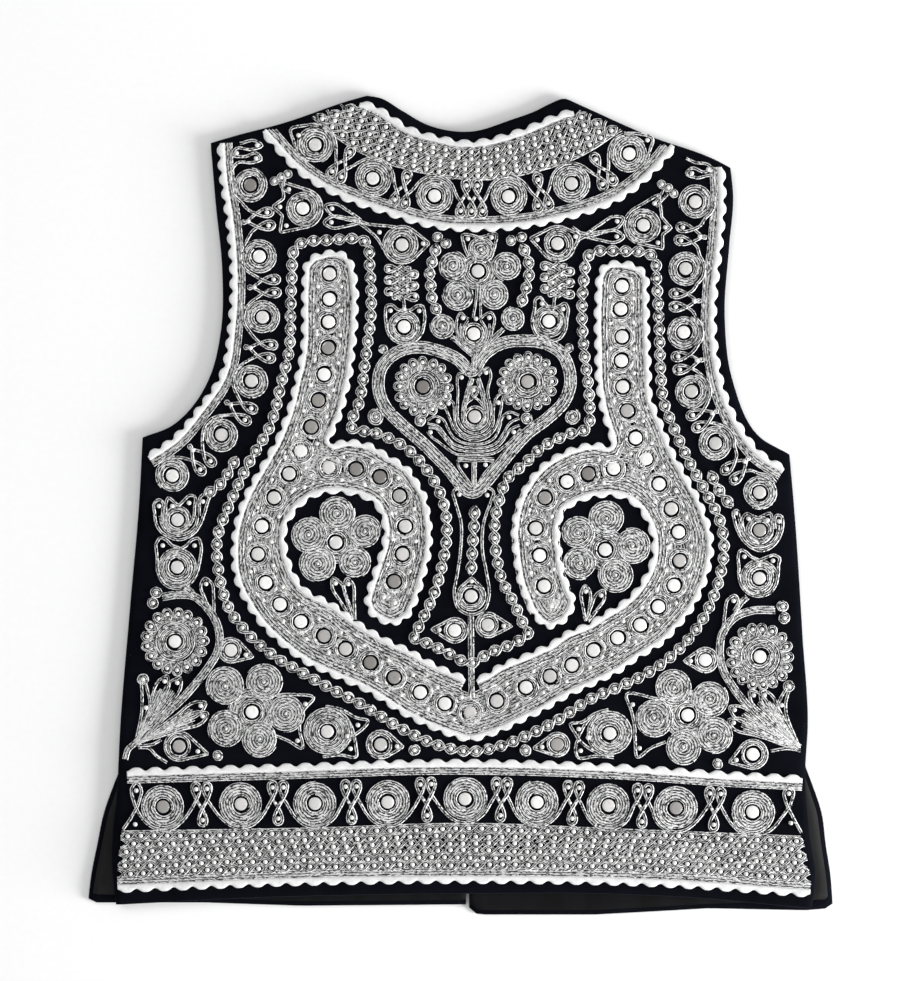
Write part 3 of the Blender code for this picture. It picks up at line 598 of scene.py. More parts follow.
    def knots(self, first, second, lead, radius, loops, pitch, reach, aside):
        """The cord between two rosettes. It leaves the first round its lead side, makes loops with a bead
        in each, which cross that far aside of the row's line, and goes round the lead side of the second."""
        first, second = (np.array(place[:2], float) for place in (first, second))
        centre, span = (first + second) / 2, np.linalg.norm(second - first)
        along = (second - first) / span
        up = np.array([-along[1], along[0]]) * lead
        middle, swing = (reach[0] - reach[1]) / 2, sum(reach) / 2 - CORD / 2
        lead_in = polar(-span / 2, 0, radius + CORD / 2, np.radians([100, 80, 60, 42]))
        curve = knot_curve(loops, pitch, swing, aside, KNOT_LEAN - 0.16 * aside) + [0, middle]
        local = np.concatenate([lead_in, curve, lead_in[::-1] * [-1, 1]])
        path = even(centre + local[:, :1] * along + local[:, 1:] * up, SHARP_STEP)
        share = np.linspace(0, 1, len(path))
        self.cord(path, CROSSING + CROSSING * np.sin(share * math.pi * (loops + 1)))
        for k in range(loops):
            offset = pitch * (k - (loops - 1) / 2) / 2
            height = middle + (swing - KNOT_BEAD_INSET) * (-1 if k % 2 == 0 else 1)
            self.bead(*(centre + offset * along + height * up))
        for k in range(0 if aside else loops - 1):
            offset = pitch * (k + 0.5 - (loops - 1) / 2) / 2
            self.bead(*(centre + offset * along + middle * up), 1.3, lift=0.5)

    def clear_line(self, path, clear, lift=0.0):
        """A cord along the path, laid only where it is clear of every mirror."""
        apart = np.linalg.norm(path[:, None] - np.array(self.mirror_places)[None], axis=2)
        free = np.min(apart, axis=1) > clear
        runs = np.flatnonzero(np.diff(np.concatenate([[0], free.astype(int), [0]])))
        for start, stop in zip(runs[::2], runs[1::2]):
            self.cord(path[start:stop], lift)


def knot_curve(loops, pitch, swing, aside, lean):
    """Crossed loops to either side of a line, wider on one side if they cross aside of it: places along it
    and away from it."""
    t = np.linspace(-0.5 * math.pi, (loops - 0.5) * math.pi, 16 * loops)
    along = pitch * (t - (loops - 1) * math.pi / 2) / TURN
    along = along - lean * (1 + 0.08 * aside * np.cos(t)) * np.sin(2 * t)
    return np.stack([along, aside * np.sin(t) ** 2 - swing * np.cos(t)], axis=1)


def make_braid(name, tips, side, pitch, width, *nodes):
    """Woven scalloped braid. Its round lobes run along the tips with narrow notches between them, and its
    other edge is straight."""
    line = even(tips, BRAID_STEP)
    lengths = measured(line)
    lobe = lengths / lengths[-1] * round(lengths[-1] / pitch)
    depth = SCALLOP_DEPTH * np.abs(np.cos(math.pi * lobe)) ** SCALLOP_POWER
    level = cloth_top(line[:, 0], line[:, 1]) + 0.1
    section = BRAID_SECTION if side < 0 else BRAID_SECTION[::-1]
    rings = np.empty((len(line), len(section), 3))
    for k, (share, up) in enumerate(section):
        inward = depth + share * (width - depth)
        rings[:, k, :2] = line + normals(line) * (side * inward)[:, None]
        rings[:, k, 2] = level + up * BRAID_THICK
    weave = Weave()
    weave.grid(rings, lengths, np.array([share for share, _ in [*section, section[0]]]) * width)
    make_piece(name, weave, WHITE, "braid", *nodes)


def coons(bottom, top, left, right):
    """A grid of places between four sides; bottom and top run left to right, the others upwards."""
    u = np.linspace(0, 1, len(bottom))[None, :, None]
    v = np.linspace(0, 1, len(left))[:, None, None]
    ruled = (1 - v) * bottom + v * top + (1 - u) * left[:, None] + u * right[:, None]
    return ruled - (1 - v) * ((1 - u) * bottom[0] + u * bottom[-1]) - v * ((1 - u) * top[0] + u * top[-1])


def make_cloth(name, patch, under, over, material, slot, *nodes, bulge=0.7, round_off=0.22):
    """A cloth with two faces over a grid of places. Its rim is rounded off by that share of its thickness
    and bulges out that far."""
    rows, wide = patch.shape[:2]
    flat = patch.reshape(-1, 2)
    index = np.arange(rows * wide).reshape(rows, wide)
    rim = np.concatenate([index[0, :-1], index[:-1, -1], index[-1, :0:-1], index[:0:-1, 0]])
    edge = flat[rim]
    outward = -normals(edge, closed=True)
    low, high = under(*flat.T), over(*flat.T)
    rounded = np.zeros(len(flat))
    rounded[rim] = (high - low)[rim] * round_off
    points = np.concatenate([
        np.column_stack([flat, high - rounded]),
        np.column_stack([flat, low + rounded]),
        np.column_stack([edge + outward * bulge, (high[rim] + low[rim]) / 2]),
    ])
    quads = np.stack([index[:-1, :-1], index[:-1, 1:], index[1:, 1:], index[1:, :-1]], axis=-1).reshape(-1, 4)
    count, after = len(flat), np.roll(rim, -1)
    brink = 2 * count + np.arange(len(rim))
    brink_after = np.roll(brink, -1)
    upper = np.stack([rim, brink, brink_after, after], axis=1)
    lower = np.stack([brink, count + rim, count + after, brink_after], axis=1)
    mesh = bpy.data.meshes.new(name)
    mesh.from_pydata(points * MM, [], np.concatenate([quads, quads[:, ::-1] + count, upper, lower]).tolist())
    mesh.update()
    return finish_piece(mesh, material, slot, *nodes)


# --- materials -----------------------------------------------------------------------------------


def is_socket(value):
    return isinstance(value, bpy.types.NodeSocket)


class Shader:
    """A Principled material and short ways to add nodes to it."""

    def __init__(self, name, **sockets):
        self.material = bpy.data.materials.new(name)
        self.material.use_nodes = True
        self.tree = self.material.node_tree
        self.principled = self.tree.nodes["Principled BSDF"]
        for socket, value in sockets.items():
            self.principled.inputs[socket.replace("_", " ")].default_value = value

    def add(self, kind, settings=(), **inputs):
        """A new node. Its inputs are given by name, or as in0, in1 and so on."""
        node = self.tree.nodes.new("ShaderNode" + kind)
        for key, value in dict(settings).items():
            setattr(node, key, value)
        for key, value in inputs.items():
            numbered = key.startswith("in") and key[2:].isdigit()
            socket = node.inputs[int(key[2:]) if numbered else key.replace("_", " ")]
            if is_socket(value):
                self.tree.links.new(value, socket)
            else:
                socket.default_value = value
        return node

    def maths(self, operation, first, second=0.0, third=0.0):
        return self.add("Math", {"operation": operation}, in0=first, in1=second, in2=third).outputs[0]

    def times(self, first, second):
        return self.maths("MULTIPLY", first, second)

    def noise(self, where, scale, detail=3.0):
        return self.add("TexNoise", Vector=where, Scale=scale, Detail=detail, Roughness=0.55).outputs["Fac"]

    def between(self, share, low, high, first, second):
        """A colour ramp from first to second as share goes from low to high."""
        ramp = self.add("ValToRGB", Fac=share)
        for element, position, colour in zip(ramp.color_ramp.elements, (low, high), (first, second)):
            element.position, element.color = position, (*colour, 1)
        return ramp.outputs["Color"]

    def mix(self, share, first, second, blend="MIX"):
        first, second = (colour if is_socket(colour) else (*colour, 1) for colour in (first, second))
        settings = {"data_type": "RGBA", "blend_type": blend}
        return self.add("Mix", settings, in0=share, in6=first, in7=second).outputs[2]

    def tinted(self, first, second):
        """Two colours multiplied."""
        return self.mix(1.0, first, second, "MULTIPLY")

    def paint(self, colour, bump, strength, distance, roughness=None):
        self.tree.links.new(colour, self.principled.inputs["Base Color"])
        if roughness is not None:
            self.tree.links.new(roughness, self.principled.inputs["Roughness"])
        node = self.add("Bump", Height=bump, Strength=strength, Distance=distance)
        self.tree.links.new(node.outputs["Normal"], self.principled.inputs["Normal"])
        return self.material

    def where(self):
        return self.add("TexCoord").outputs["Object"]

    def thread(self):
        """How far along the thread a place is, in millimetres, and where across or round it."""
        marks = self.add("SeparateXYZ", Vector=self.add("UVMap", {"uv_map": "thread"}).outputs["UV"])
        return marks.outputs["X"], marks.outputs["Y"]

    def tone(self):
        return self.add("Attribute", {"attribute_name": "tone"}).outputs["Fac"]


def black_velvet():
    """Black pile, with paler patches of painted sheen where its nap lies another way."""
    s = Shader("black_velvet", Roughness=0.92, Sheen_Weight=0.03, Sheen_Roughness=0.35,
               Sheen_Tint=(0.55, 0.62, 0.85, 1), Specular_IOR_Level=0.04)
    deep, pale, grey = (0.0016, 0.0018, 0.0035), (0.0042, 0.0046, 0.0085), (0.10, 0.10, 0.11)
    where = s.where()
    nap_and_sheen = s.noise(where, 34.0, 4.0)
    pile = s.noise(where, 1500.0, 2.0)
    # Painted sheen: where the nap noise is high the pile is painted paler, for the light it would catch.
    colour = s.mix(s.times(pile, 0.6), s.between(nap_and_sheen, 0.3, 0.72, deep, pale), deep)
    lint = s.maths("GREATER_THAN", s.noise(where, 420.0, 1.0), 0.795)
    colour = s.mix(s.times(lint, 0.12), colour, grey)
    return s.paint(colour, s.maths("ADD", pile, s.times(nap_and_sheen, 2.0)), 0.55, 0.0005)


def facing_cloth():
    """Black lining cloth with soft paler bands of painted highlight along its folds, and painted shade under
    the back's edge.
    """
    s = Shader("facing_cloth", Roughness=0.75, Specular_IOR_Level=0.12)
    where = s.where()
    stretched = s.add("Mapping", Vector=where, Scale=(60.0, 9.0, 1.0)).outputs["Vector"]
    folds_and_highlights = s.noise(stretched, 1.0)
    weave = s.noise(where, 1100.0, 2.0)
    # Painted highlight: paler bands along the folds that the bump draws.
    colour = s.between(folds_and_highlights, 0.35, 0.72, (0.0065, 0.0063, 0.0064), (0.024, 0.0232, 0.0232))
    colour = s.mix(s.times(weave, 0.5), colour, (0.009, 0.0088, 0.0088))
    from_axis = s.maths("ABSOLUTE", s.add("SeparateXYZ", Vector=where).outputs["X"])
    # Painted shade: the part nearer the middle than the vents, which lies under the back's edge, is darkened.
    colour = s.tinted(colour, s.between(from_axis, 0.235, 0.262, (0.22, 0.23, 0.30), (1, 1, 1)))
    return s.paint(colour, s.maths("ADD", weave, s.times(folds_and_highlights, 3.0)), 0.35, 0.0003)


def silver_cord():
    """Double cord of silver-wrapped thread: two uneven pale plies, a dark broken line between them that is
    partly stitch and partly painted shade, and specks of painted shadow.
    """
    s = Shader("silver_cord", Metallic=0.1, Roughness=0.5)
    along, around = s.thread()
    flow = s.add("CombineXYZ", X=s.times(along, 0.45), Y=s.times(around, 4.5), Z=s.times(s.tone(), 97.0))
    flow = flow.outputs["Vector"]
    specks, breaks, fine = s.noise(flow, 1.0, 1.0), s.noise(flow, 0.55, 2.0), s.noise(s.where(), 1400.0, 2.0)
    # Painted shade: the line between the plies is darkened, with breaks; its dark is partly the couching
    # stitch, partly shade in the recess.
    from_groove = s.maths("ABSOLUTE", s.maths("SUBTRACT", around, CORD_GROOVE))
    open_groove = s.maths("MULTIPLY_ADD", s.maths("SUBTRACT", breaks, 0.5), 0.40, from_groove)
    groove_stitch_and_shade = s.between(open_groove, 0.07, 0.105, (0.008, 0.008, 0.011), (1, 1, 1))
    # Painted shadow: dark specks between the twists.
    shade_specks = s.between(specks, 0.40, 0.45, (0.012, 0.012, 0.015), (1, 1, 1))
    turn = s.maths("ADD", s.maths("DIVIDE", along, 1.6), s.maths("MULTIPLY_ADD", specks, 2.0, from_groove))
    twist = s.maths("SINE", s.times(turn, TURN))
    silver = s.between(fine, 0.35, 0.55, (0.80, 0.80, 0.81), (1.0, 1.0, 0.99))
    return s.paint(s.tinted(s.tinted(silver, shade_specks), groove_stitch_and_shade), s.maths("ADD", twist, fine), 0.35, 0.0003)


def white_braid():
    """White cotton braid, plaited on the bias."""
    s = Shader("white_braid", Roughness=0.75, Sheen_Weight=0.15)
    along, across = s.thread()
    fold = s.maths("ABSOLUTE", s.maths("SUBTRACT", across, BRAID_WIDTH / 2))
    plait = s.maths("SINE", s.times(s.maths("ADD", along, fold), TURN / 1.1))
    fuzz = s.noise(s.where(), 900.0, 2.0)
    patch = s.noise(s.where(), 160.0)
    colour = s.between(plait, -1.0, 0.3, (0.72, 0.72, 0.72), (0.93, 0.93, 0.925))
    colour = s.mix(s.times(fuzz, 0.35), colour, (0.68, 0.68, 0.68))
    colour = s.tinted(colour, s.between(patch, 0.3, 0.6, (0.84, 0.84, 0.85), (1, 1, 1)))
    return s.paint(colour, s.maths("ADD", plait, fuzz), 0.35, 0.0002)


def white_bead():
    s = Shader("white_bead", Roughness=0.28)
    colour = s.between(s.tone(), 0.88, 1.0, (0.60, 0.60, 0.59), (0.80, 0.80, 0.79))
    return s.paint(colour, s.noise(s.where(), 1200.0, 2.0), 0.12, 0.0002)


def mirror_glass():
    """Old mirror: silvered glass whose colour carries a painted reflection, pale on some and a brownish grey
    on others, as their tilt would show.
    """
    s = Shader("mirror_glass", Metallic=0.3, Roughness=0.12)
    where = s.where()
    # Painted reflection: the tone paints each mirror pale, as if it faced the bright room, or brownish grey,
    # as if it tilted to darker surroundings.
    clear = s.between(s.tone(), 0.4, 0.95, (0.24, 0.228, 0.215), (0.99, 0.985, 0.975))
    spots = s.between(s.noise(where, 380.0, 4.0), 0.28, 0.42, (0.80, 0.785, 0.75), (1, 1, 1))
    rough = s.maths("MULTIPLY_ADD", s.noise(where, 150.0), 0.18, 0.05)
    return s.paint(s.tinted(clear, spots), s.noise(where, 120.0, 1.0), 0.05, 0.0004, rough)


def pale_floor():
    s = Shader("pale_floor", Roughness=0.9)
    grain = s.noise(s.where(), 220.0, 4.0)
    return s.paint(s.between(grain, 0.2, 0.8, (0.905, 0.905, 0.91), (0.93, 0.93, 0.93)), grain, 0.05, 0.0002)


VELVET, FACING, SILVER, WHITE = black_velvet(), facing_cloth(), silver_cord(), white_braid()
BEADS, GLASS = white_bead(), mirror_glass()


# --- cloth ---------------------------------------------------------------------------------------


# How many places lie along the back's edges, and how many across and down a front and a facing.
LEFT_SHOULDER_PLACES, NECK_PLACES, RIGHT_SHOULDER_PLACES = 30, 60, 36
SEAM_PLACES, ARMHOLE_PLACES = 84, 64
FRONT_ACROSS, FRONT_BELOW_NECK, FRONT_NECK = 40, 80, 40
FACING_ALONG, FACING_ACROSS = 90, 8


def make_back():
    hem = places(BACK_HEM, LEFT_SHOULDER_PLACES + NECK_PLACES + RIGHT_SHOULDER_PLACES)
    top = joined((LEFT_SHOULDER, LEFT_SHOULDER_PLACES), (NECK, NECK_PLACES),
                 (RIGHT_SHOULDER, RIGHT_SHOULDER_PLACES))
    left = joined((LEFT_SEAM, SEAM_PLACES), (LEFT_ARMHOLE, ARMHOLE_PLACES))
    right = joined((RIGHT_SEAM, SEAM_PLACES), (RIGHT_ARMHOLE, ARMHOLE_PLACES))
    patch = coons(hem, top, left, right)
    return make_cloth("back_velvet", patch, back_under, cloth_top, VELVET, "velvet", "back_panel")


def level_at(height):
    """A flat face's height, as make_cloth asks for it."""
    return lambda x, y: np.full(len(x), height)


def tucked(points, side):
    return beside(smooth(points), side * TUCK)


def make_front(name, side, neck, seam, armhole, shoulder, vent, hem, node):
    """A front lies flat under the back and shows at the side vent and under the hem."""
    inner = joined(([hem[-1], neck[0]], FRONT_BELOW_NECK), (neck, FRONT_NECK))
    seam_part = [p for p in tucked(seam, side) if p[1] > vent[0][1] + 8]
    outer = [*vent[::-1], *seam_part[::6], *tucked(armhole, side)[6:-5:5]]
    outer = places(outer, FRONT_BELOW_NECK + FRONT_NECK)
    edge = spaced(hem[::-1], FRONT_ACROSS)
    shoulder_line = spaced([neck[-1], *tucked(shoulder, -side)[6:-6:12], outer[-1]], FRONT_ACROSS)
    if side < 0:
        patch = coons(edge[::-1], shoulder_line[::-1], outer, inner)
    else:
        patch = coons(edge, shoulder_line, inner, outer)
    return make_cloth(name, patch, level_at(0.0), level_at(FRONT_THICK), VELVET, "velvet", node, bulge=0.4)


def make_facing(name, side, vent, hem, node):
    """A strip of lining cloth on a front, down its side vent and along its hem."""
    outer_x, inner_x = side * FACING_INSET, side * (FACING_INSET + FACING_WIDTH)
    outer_y, inner_y = FACING_INSET, FACING_INSET + FACING_WIDTH
    (top_x, top_y), (corner_x, corner_y) = vent[0], vent[-1]
    beside_vent = [(top_x - outer_x, top_y + inner_y / 3)] + vent[:-1]
    rows = [[(x - outer_x, y), (x - inner_x, max(y, corner_y + inner_y))] for x, y in beside_vent]
    rows.append([(corner_x - outer_x, corner_y + outer_y), (corner_x - inner_x, corner_y + inner_y)])
    above_hem = [(x, y) for x, y in hem if abs(x) < abs(corner_x) - 1.3 * FACING_WIDTH]
    rows = np.array(rows + [[(x, y + outer_y), (x, y + inner_y)] for x, y in above_hem])
    outer, inner = (spaced(rows[:, k], FACING_ALONG)[:, None] for k in (0, 1))
    share = np.linspace(0, 1, FACING_ACROSS + 1)[None, :, None]
    patch = outer * (1 - share) + inner * share
    under, over = level_at(SEAM_HEIGHT), level_at(SEAM_HEIGHT + FACING_THICK)
    return make_cloth(name, patch[:, ::side], under, over, FACING, "facing", node, bulge=0.2)


back = make_back()
front_left = make_front("front_left_velvet", -1, LEFT_FRONT_NECK, LEFT_SEAM, LEFT_ARMHOLE,
                        LEFT_SHOULDER[::-1], LEFT_VENT, LEFT_FRONT_HEM, "front_left")
front_right = make_front("front_right_velvet", 1, RIGHT_FRONT_NECK, RIGHT_SEAM, RIGHT_ARMHOLE,
                         RIGHT_SHOULDER, RIGHT_VENT, RIGHT_FRONT_HEM, "front_right")
facing_left = make_facing("facing_left_twill", -1, LEFT_VENT, LEFT_FRONT_HEM[1:], "facing_left")
facing_right = make_facing("facing_right_twill", 1, RIGHT_VENT, RIGHT_FRONT_HEM[1:], "facing_right")

# --- embroidery ----------------------------------------------------------------------------------

REGIONS = {name: (Weave(), Weave()) for name in ("yoke", "armholes", "hem", "paisleys", "field")}
TOP_EDGE = np.concatenate([smooth(LEFT_SHOULDER), smooth(NECK), smooth(RIGHT_SHOULDER)])


def sewing(region="field"):
    return Sewing(*REGIONS[region])


def sewn(name, work, *nodes):
    make_piece(name, work.cords, SILVER, "cord", *nodes)


def ribbon(work, tips, side, count=3):
    """Cords side by side along a braid's straight edge, as far as the shoulders' edges."""
    line = even(tips)
    for k in range(count):
        path = beside(line, -side * (BRAID_WIDTH + FINE_CORD / 2 + k * FINE_PITCH))
        path = path[path[:, 1] < np.interp(path[:, 0], *TOP_EDGE.T, left=1e3, right=1e3) - 1.2]
        work.cord(path, width=FINE_CORD)


# Each braid's tips, the side they point to, and the scallops' pitch.
BRAIDS = {
    "neck": (NECK_BRAID, 1, SCALLOP_PITCH),
    "yoke": (YOKE_BRAID, -1, SCALLOP_PITCH),
    "armhole_left": (LEFT_ARM_BRAID, -1, LEFT_ARM_SCALLOP_PITCH),
    "armhole_right": (RIGHT_ARM_BRAID, 1, SCALLOP_PITCH),
    "hem_top": (HEM_TOP_BRAID, 1, HEM_SCALLOP_PITCH),
    "hem_low": (HEM_LOW_BRAID, -1, HEM_SCALLOP_PITCH),
}
for place, (tips, side, pitch) in BRAIDS.items():
    make_braid(f"braid_{place}_woven", tips, -side, pitch, BRAID_WIDTH, f"braid_{place}")
for place, region in (("yoke", "yoke"), ("armhole_left", "armholes"), ("armhole_right", "armholes"),
                      ("hem_top", "hem")):
    work = sewing(region)
    ribbon(work, *BRAIDS[place][:2])
    sewn(f"cords_{place}_laid", work, f"cords_{place}")

# Each row's rosettes, their radius, the side its cord leads on, its region, the knots' pitch, how far they
# reach to either side, and how far aside they cross.
ROWS = {
    "rosettes_yoke": (YOKE_ROSETTES, YOKE_ROSETTE, 1, "yoke", 8.4, (14.0, 17.0), 0.0),
    "rosettes_armhole_left": (LEFT_ARM_ROSETTES, ARM_ROSETTE, -1, "armholes", 10.2, (10.8, 15.8), 5.0),
    "rosettes_armhole_right": (RIGHT_ARM_ROSETTES, ARM_ROSETTE, 1, "armholes", 10.2, (13.0, 12.6), 5.5),
    "rosettes_hem": (HEM_ROSETTES, HEM_ROSETTE, -1, "hem", 8.4, (17.0, 18.5), 0.0),
}
WIDE_GAP = 54.0
# The doubled cord's own ends and their beads: a point past the yoke's first and last rosettes, half a knot at
# the hem's.
ROW_ENDS = {
    "yoke": ([[(-107, 294.3), (-119, 293), (-131, 289.4), (-128.8, 281.5), (-125.5, 272), (-118, 264.6)],
        [(126, 287), (138, 286.3), (148.2, 282.6), (146, 274), (143, 264)]],
        [(-124.8, 285.2), (144, 281.5)]),
    "hem": ([[(-260, -249.5), (-253.5, -240), (-247.2, -227), (-246, -218), (-249.6, -213.5), (-253.4, -218),
        (-252, -227), (-246.5, -239), (-238, -247.5), (-229, -250)],
        [(225, -254), (237, -251.2), (248, -239.5), (255.5, -226), (256.3, -220), (252.8, -217),
        (249.2, -221), (250.5, -228), (256, -240), (262.5, -252)]],
        [(-249.7, -219.5), (-250.5, -245.5), (252.8, -221.8), (254.4, -244.5)]),
}
for name, (centres, outer, lead, region, pitch, reach, aside) in ROWS.items():
    work = sewing(region)
    for centre in centres:
        work.rosette(*centre[:2], outer, centre[2])
    for first, second in zip(centres, centres[1:]):
        wide = region == "yoke" and math.dist(first[:2], second[:2]) > WIDE_GAP
        work.knots(first, second, lead, outer, 5 if wide else 3, pitch, reach, aside)
    work.drawn(*ROW_ENDS.get(region, ([], [])))
    sewn(f"{name}_coiled", work, name)

NET_PITCH, NET_PITCH_CHANGE, NET_HALF, NET_BEAD = 10.0, 0.3, 3.3, 1.85


def net(work, upper, lower, rows):
    """Rows of eyes between two edges, each row half an eye along from the next and partly over it."""
    count = round(measured(lower)[-1] / STEP) - 1
    upper, lower = spaced(upper, count), spaced(lower, count)
    work.cord(upper)
    work.cord(lower)
    for row in range(rows):
        share = (row + 0.62) / (rows + 0.24)
        path = upper * (1 - share) + lower * share
        path = path + np.array([[0.0, 0.5]]) * np.sin(measured(path)[:, None] / 13.0 + 2.0 * row)
        pitch = NET_PITCH + rng.uniform(-NET_PITCH_CHANGE, NET_PITCH_CHANGE)
        path = respaced(path, NET_STEP)
        work.eyes(path, pitch, NET_HALF, width=FINE_CORD, flip=row % 2 == 1, bead=NET_BEAD)


work = sewing("yoke")
under_neck = beside(smooth(NECK_BRAID), -BRAID_WIDTH - CORD / 2)
net(work, np.concatenate([[(-85, 308.5)], under_neck, [(93, 304)]]), smooth(NET_EDGE), 5)
sewn("net_neck_knotted", work, "net_neck")
work = sewing("hem")
net(work, smooth(HEM_NET_TOP), beside(smooth(HEM_LOW_BRAID), BRAID_WIDTH + 2 * FINE_PITCH + CORD / 2), 6)
ribbon(work, HEM_LOW_BRAID, -1, count=2)
sewn("net_hem_knotted", work, "net_hem")

# The paisleys: the coils round their mirrors, how far aside the beads between these lie, the cords inside the
# braid and how far they keep from the mirrors, and the cords of the bed under the coils and how low it lies.
PAISLEY_COIL, PAISLEY_BEAD_ASIDE = 8.9, 9.0
EDGE_CORDS, EDGE_CLEARANCE = 6, 11.0
BED_CORDS, BED_DROP = 13, 0.7


def paisley(side, outline, way, stem, curl, ends):
    """A paisley: braid along its edge, cords inside that, and a row of coiled mirrors down its middle."""
    make_braid(f"paisley_{side}_braid", outline, way, PAISLEY_SCALLOP_PITCH, FRAME_WIDTH)
    work = sewing("paisleys")
    for x, y, tone in stem + curl:
        work.mirror(x, y, tone)
        work.coil(x, y, PAISLEY_COIL, MIRROR_RIM)
    for row in (stem, curl):
        for (x1, y1, _), (x2, y2, _) in zip(row, row[1:]):
            aside = np.array([y1 - y2, x2 - x1]) / math.dist((x1, y1), (x2, y2)) * PAISLEY_BEAD_ASIDE
            middle = np.array([x1 + x2, y1 + y2]) / 2
            for sign in (1, -1):
                work.bead(*(middle + sign * aside), SMALL_BEAD, lift=0.4)
    line = even(outline)
    for k in range(EDGE_CORDS):
        work.clear_line(beside(line, way * (FRAME_WIDTH + CORD / 2 + k * PITCH)), EDGE_CLEARANCE)
    bed = respaced(line, BED_STEP)
    for k in range(1, BED_CORDS + 1):
        work.clear_line(beside(bed, way * (FRAME_WIDTH + k * PITCH)), MIRROR_RIM, -BED_DROP)
    for spot in ends:
        work.blob(*spot)
    sewn(f"paisley_{side}_cords", work, f"paisley_{side}", f"paisley_tip_{side}")


paisley("left", LEFT_PAISLEY, 1, LEFT_PAISLEY_MIRRORS, LEFT_CURL_MIRRORS, [(-59.2, -70.6), (-50.9, -75.1)])
paisley("right", RIGHT_PAISLEY, -1, RIGHT_PAISLEY_MIRRORS, RIGHT_CURL_MIRRORS, [(69.5, -77.5)])

work = sewing()
work.sheaf(HEART, 4, closed=True, pitch=2.4)
sewn("heart_cords", work, "heart")
work = sewing()
work.eyes(even(CHAIN, LOOP_STEP, closed=True), closed=True)
sewn("chain_twisted", work, "chain")
for name, (centre, *petals) in FLOWERS.items():
    work = sewing()
    work.rosette(*centre, FLOWER_COIL)
    for ring in np.arange(FLOWER_RING, min(outer for *_, outer in petals) + 4.0, PITCH):
        work.circle(*centre, ring, -0.4)
    for petal in petals:
        work.disc(*petal)
    sewn(f"{name}_coiled", work, name)

# Coiled mirrors in pointed outlines: x, y, coil's radius, how pale the painted reflection, then the outline's
# tips.
DROPS = {
    "bird_left": (-121.5, 229, 13.7, 1, [(-146, 230.5), (-140, 209.5), (-137, 250)]),
    "bird_right": (141, 216, 13.5, 1, [(153.5, 241), (163.5, 213.7), (156.5, 197)]),
    "neck_drop_left": (-45, 200.8, 13.0, 1, [(-23, 202)]),
    "neck_drop_right": (74.8, 201.8, 12.1, 1, [(52.5, 206), (93, 209)]),
    "side_drop_left": (-176.8, -111.5, 8.0, 1, [(-158.5, -117)]),
    "side_drop_right": (188.6, -119, 8.0, 1, [(171, -120)]),
    "low_drop_left": (-216.7, -185.4, 9.7, 0.7, [(-193.3, -191.7)]),
    "low_drop_right": (225.2, -191.6, 9.7, 1, [(205.8, -198.1)]),
    "leaf_left": (-4.4, -96.2, 8.0, 1, [(-23.5, -95.3)]),
    "leaf_right": (21.2, -92, 8.0, 0.95, [(40.5, -93)]),
    "axis_mirror": (8.2, -69.8, 9.4, 0.9, [(8.5, -54.5)]),
}
